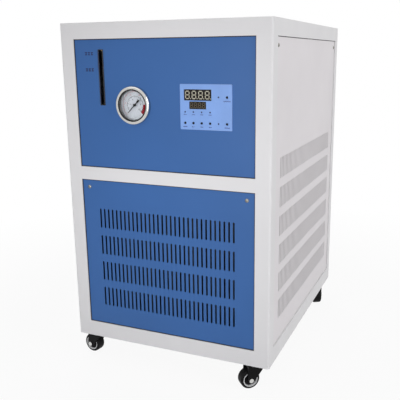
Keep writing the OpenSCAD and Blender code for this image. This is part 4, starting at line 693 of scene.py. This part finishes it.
def front_gap_shade(name, z0, z1):
    """Painted shade round a front window: two upright lengths with their lips, then the lower and upper one.
    """
    bm = bmesh.new()
    edge = WINDOW_X - EASE
    for side in (-1, 1):
        strip(bm, (side * edge, STRIP_FACE, z0 + EASE), (side * (edge - FILL), SEAT, z1 - EASE))
        strip(bm, (side * (edge - FILL), STRIP_FACE, z0 + EASE),
              (side * (edge - LIP), LIP_BACK, z1 - EASE))
    for near, way in ((z0 + EASE, 1), (z1 - EASE, -1)):
        strip(bm, (FILL - edge, STRIP_FACE, near), (edge - FILL, SEAT, near + way * FILL))
        strip(bm, (LIP - edge, STRIP_FACE, near + way * FILL), (edge - LIP, LIP_BACK, near + way * LIP))
    finish_piece(bm, name, shade_black, "cabinet")


front_gap_shade("gap_shade_upper_window", *UPPER_WINDOW_Z)
front_gap_shade("gap_shade_lower_window", *LOWER_WINDOW_Z)
# Along the top of each side window, a black strip of painted shade under the top rail
for side, word in SIDES:
    bm = bmesh.new()
    strip(bm, (side * SIDE_OUT, SIDE_Y0, TOP_Z1), (side * SIDE_IN, SIDE_Y1, TOP_Z0))
    finish_piece(bm, "painted_gap_" + word + "_top", shade_black, "cabinet")
# Along the foot and rear edge of each side window, a light grey strip: painted light over the gap's shade
for side, word in SIDES:
    bm = bmesh.new()
    strip(bm, (side * SIDE_OUT, SIDE_Y0, FOOT_Z0), (side * SIDE_IN, SIDE_Y1, FOOT_Z1))
    strip(bm, (side * SIDE_OUT, BACK_Y0, FOOT_Z1), (side * SIDE_IN, BACK_Y1, TOP_Z0))
    finish_piece(bm, "painted_gap_" + word + "_light", gap_highlight, "cabinet")

# Dark strips round the level slot, painted shade that widens its dark opening: outer and inner edges, and
# how deep they lie
SLOT_SHADE_X = (-123.0, -121.35, -114.25, -112.2)
SLOT_SHADE_Z = (457.0, 457.95, 553.05, 554.0)
SLOT_SHADE_Y0, SLOT_SHADE_Y1 = 1.55, 1.97
bm = bmesh.new()
for x0, x1 in (SLOT_SHADE_X[:2], SLOT_SHADE_X[2:]):
    strip(bm, (x0, SLOT_SHADE_Y0, SLOT_SHADE_Z[0]), (x1, SLOT_SHADE_Y1, SLOT_SHADE_Z[3]))
for z0, z1 in (SLOT_SHADE_Z[:2], SLOT_SHADE_Z[2:]):
    strip(bm, (SLOT_SHADE_X[1], SLOT_SHADE_Y0, z0), (SLOT_SHADE_X[2], SLOT_SHADE_Y1, z1))
finish_piece(bm, "slot_shade_strips", shade_black, "cabinet")

# A dark ring in front of the gauge's window, where the bezel holds it: painted shade of the bezel's inner
# rim
SHADE_RING_R0, SHADE_RING_R1, SHADE_RING_T, SHADE_RING_OFF = 25.6, 27.3, 0.6, 0.35
window_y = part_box("gauge_window")[0].y
bm = bmesh.new()
band(bm, Vector((dial_middle.x, window_y - SHADE_RING_OFF * MM, dial_middle.z)), SHADE_RING_R0 * MM, SHADE_RING_R1 * MM,
     0, TAU, 96, SHADE_RING_T * MM)
finish_piece(bm, "gauge_shade_ring", shade_black, "cabinet")


# Floor, light and camera

def seen_rays(tree):
    """One for rays that show the background, straight, mirrored or through glass, and else zero."""
    path = tree.nodes.new("ShaderNodeLightPath")
    total = path.outputs["Is Camera Ray"]
    for ray in ("Is Glossy Ray", "Is Transmission Ray"):
        either = tree.nodes.new("ShaderNodeMath")
        either.operation = "MAXIMUM"
        tree.links.new(total, either.inputs[0])
        tree.links.new(path.outputs[ray], either.inputs[1])
        total = either.outputs[0]
    return total


def floor_material():
    """White to the camera far out, and a little less near the object, so that its shadow shows."""
    material = bpy.data.materials.new("pale floor")
    material.use_nodes = True
    tree = material.node_tree
    tree.nodes.clear()
    out = tree.nodes.new("ShaderNodeOutputMaterial")
    mix = tree.nodes.new("ShaderNodeMixShader")
    matt = tree.nodes.new("ShaderNodeBsdfDiffuse")
    glow = tree.nodes.new("ShaderNodeEmission")
    matt.inputs["Color"].default_value = (0.66, 0.66, 0.66, 1)
    glow.inputs["Color"].default_value = (1, 1, 1, 1)
    place = tree.nodes.new("ShaderNodeTexCoord")
    far = tree.nodes.new("ShaderNodeVectorMath")
    far.operation = "LENGTH"
    tree.links.new(place.outputs["Object"], far.inputs[0])
    fade = tree.nodes.new("ShaderNodeMapRange")
    for socket, v in (("From Min", 0.45), ("From Max", 1.15), ("To Min", 0.92), ("To Max", 1.0)):
        fade.inputs[socket].default_value = v
    tree.links.new(far.outputs["Value"], fade.inputs["Value"])
    share = tree.nodes.new("ShaderNodeMath")
    share.operation = "MULTIPLY"
    tree.links.new(seen_rays(tree), share.inputs[0])
    tree.links.new(fade.outputs["Result"], share.inputs[1])
    tree.links.new(share.outputs[0], mix.inputs[0])
    tree.links.new(matt.outputs[0], mix.inputs[1])
    tree.links.new(glow.outputs[0], mix.inputs[2])
    tree.links.new(mix.outputs[0], out.inputs[0])
    return material


def white_floor():
    """A pale floor under the castors."""
    bm = bmesh.new()
    bmesh.ops.create_circle(bm, cap_ends=True, segments=96, radius=9.0)
    mesh = bpy.data.meshes.new("floor")
    bm.to_mesh(mesh)
    bm.free()
    floor = bpy.data.objects.new("floor", mesh)
    bpy.context.scene.collection.objects.link(floor)
    mesh.materials.append(floor_material())


def white_room():
    """A world that is white where it is seen, and lights the object more softly."""
    world = bpy.data.worlds.new("studio")
    bpy.context.scene.world = world
    world.use_nodes = True
    tree = world.node_tree
    back = tree.nodes["Background"]
    back.inputs["Color"].default_value = (1, 1, 1, 1)
    room = tree.nodes.new("ShaderNodeMapRange")
    room.inputs["To Min"].default_value = 0.44
    room.inputs["To Max"].default_value = 1.0
    tree.links.new(seen_rays(tree), room.inputs["Value"])
    tree.links.new(room.outputs[0], back.inputs["Strength"])


def soft_lamp(name, place, target, size, power, spread=180):
    """A square lamp of a size in metres, which faces its target."""
    data = bpy.data.lights.new(name, "AREA")
    data.shape = "SQUARE"
    data.size = size
    data.spread = math.radians(spread)
    data.energy = power
    lamp = bpy.data.objects.new(name, data)
    bpy.context.scene.collection.objects.link(lamp)
    lamp.location = place
    lamp.rotation_euler = (Vector(target) - Vector(place)).to_track_quat("-Z", "Y").to_euler()


white_floor()
white_room()
centre = (0, 0, 0.35)
soft_lamp("front lamp", (0.12, -1.35, 0.45), (0.04, -0.26, 0.36), 0.6, 1.0, 64)
soft_lamp("high lamp", (-1.3, -2.6, 2.3), centre, 1.8, 12)
soft_lamp("side lamp", (2.8, -0.6, 1.6), centre, 1.8, 40)
soft_lamp("back lamp", (-1.5, 2.3, 2.0), centre, 1.8, 30)

# The photograph's view: the camera's place in the cabinet's millimetres and its turns in degrees,
# then its focal length, its middle and the image's side in pixels, and the sensor's width
CAMERA_PLACE = (484.0, -906.5, 541.0)
YAW, PITCH, ROLL = 22.66, -13.69, -0.45
FOCAL, MIDDLE_X, IMAGE = 590.5, 218.3, 400
SENSOR = 36


def photo_camera():
    """The camera at the photograph's viewing angle."""
    yaw, pitch, roll = (math.radians(a) for a in (YAW, PITCH, ROLL))
    ahead = Vector((-math.sin(yaw) * math.cos(pitch), math.cos(yaw) * math.cos(pitch), math.sin(pitch)))
    right = Vector((math.cos(yaw), math.sin(yaw), 0))
    up = right.cross(ahead)
    right, up = math.cos(roll) * right + math.sin(roll) * up, -math.sin(roll) * right + math.cos(roll) * up
    data = bpy.data.cameras.new("camera")
    data.sensor_width = SENSOR
    data.lens = FOCAL / IMAGE * SENSOR
    data.shift_x = (IMAGE / 2 - MIDDLE_X) / IMAGE
    camera = bpy.data.objects.new("camera", data)
    bpy.context.scene.collection.objects.link(camera)
    turned_axes = Matrix((right, up, -ahead)).transposed().to_4x4()
    camera.matrix_world = Matrix.Translation(at(*CAMERA_PLACE)) @ turned_axes
    return camera


bpy.context.scene.camera = photo_camera()
bpy.context.scene.view_settings.view_transform = "Standard"
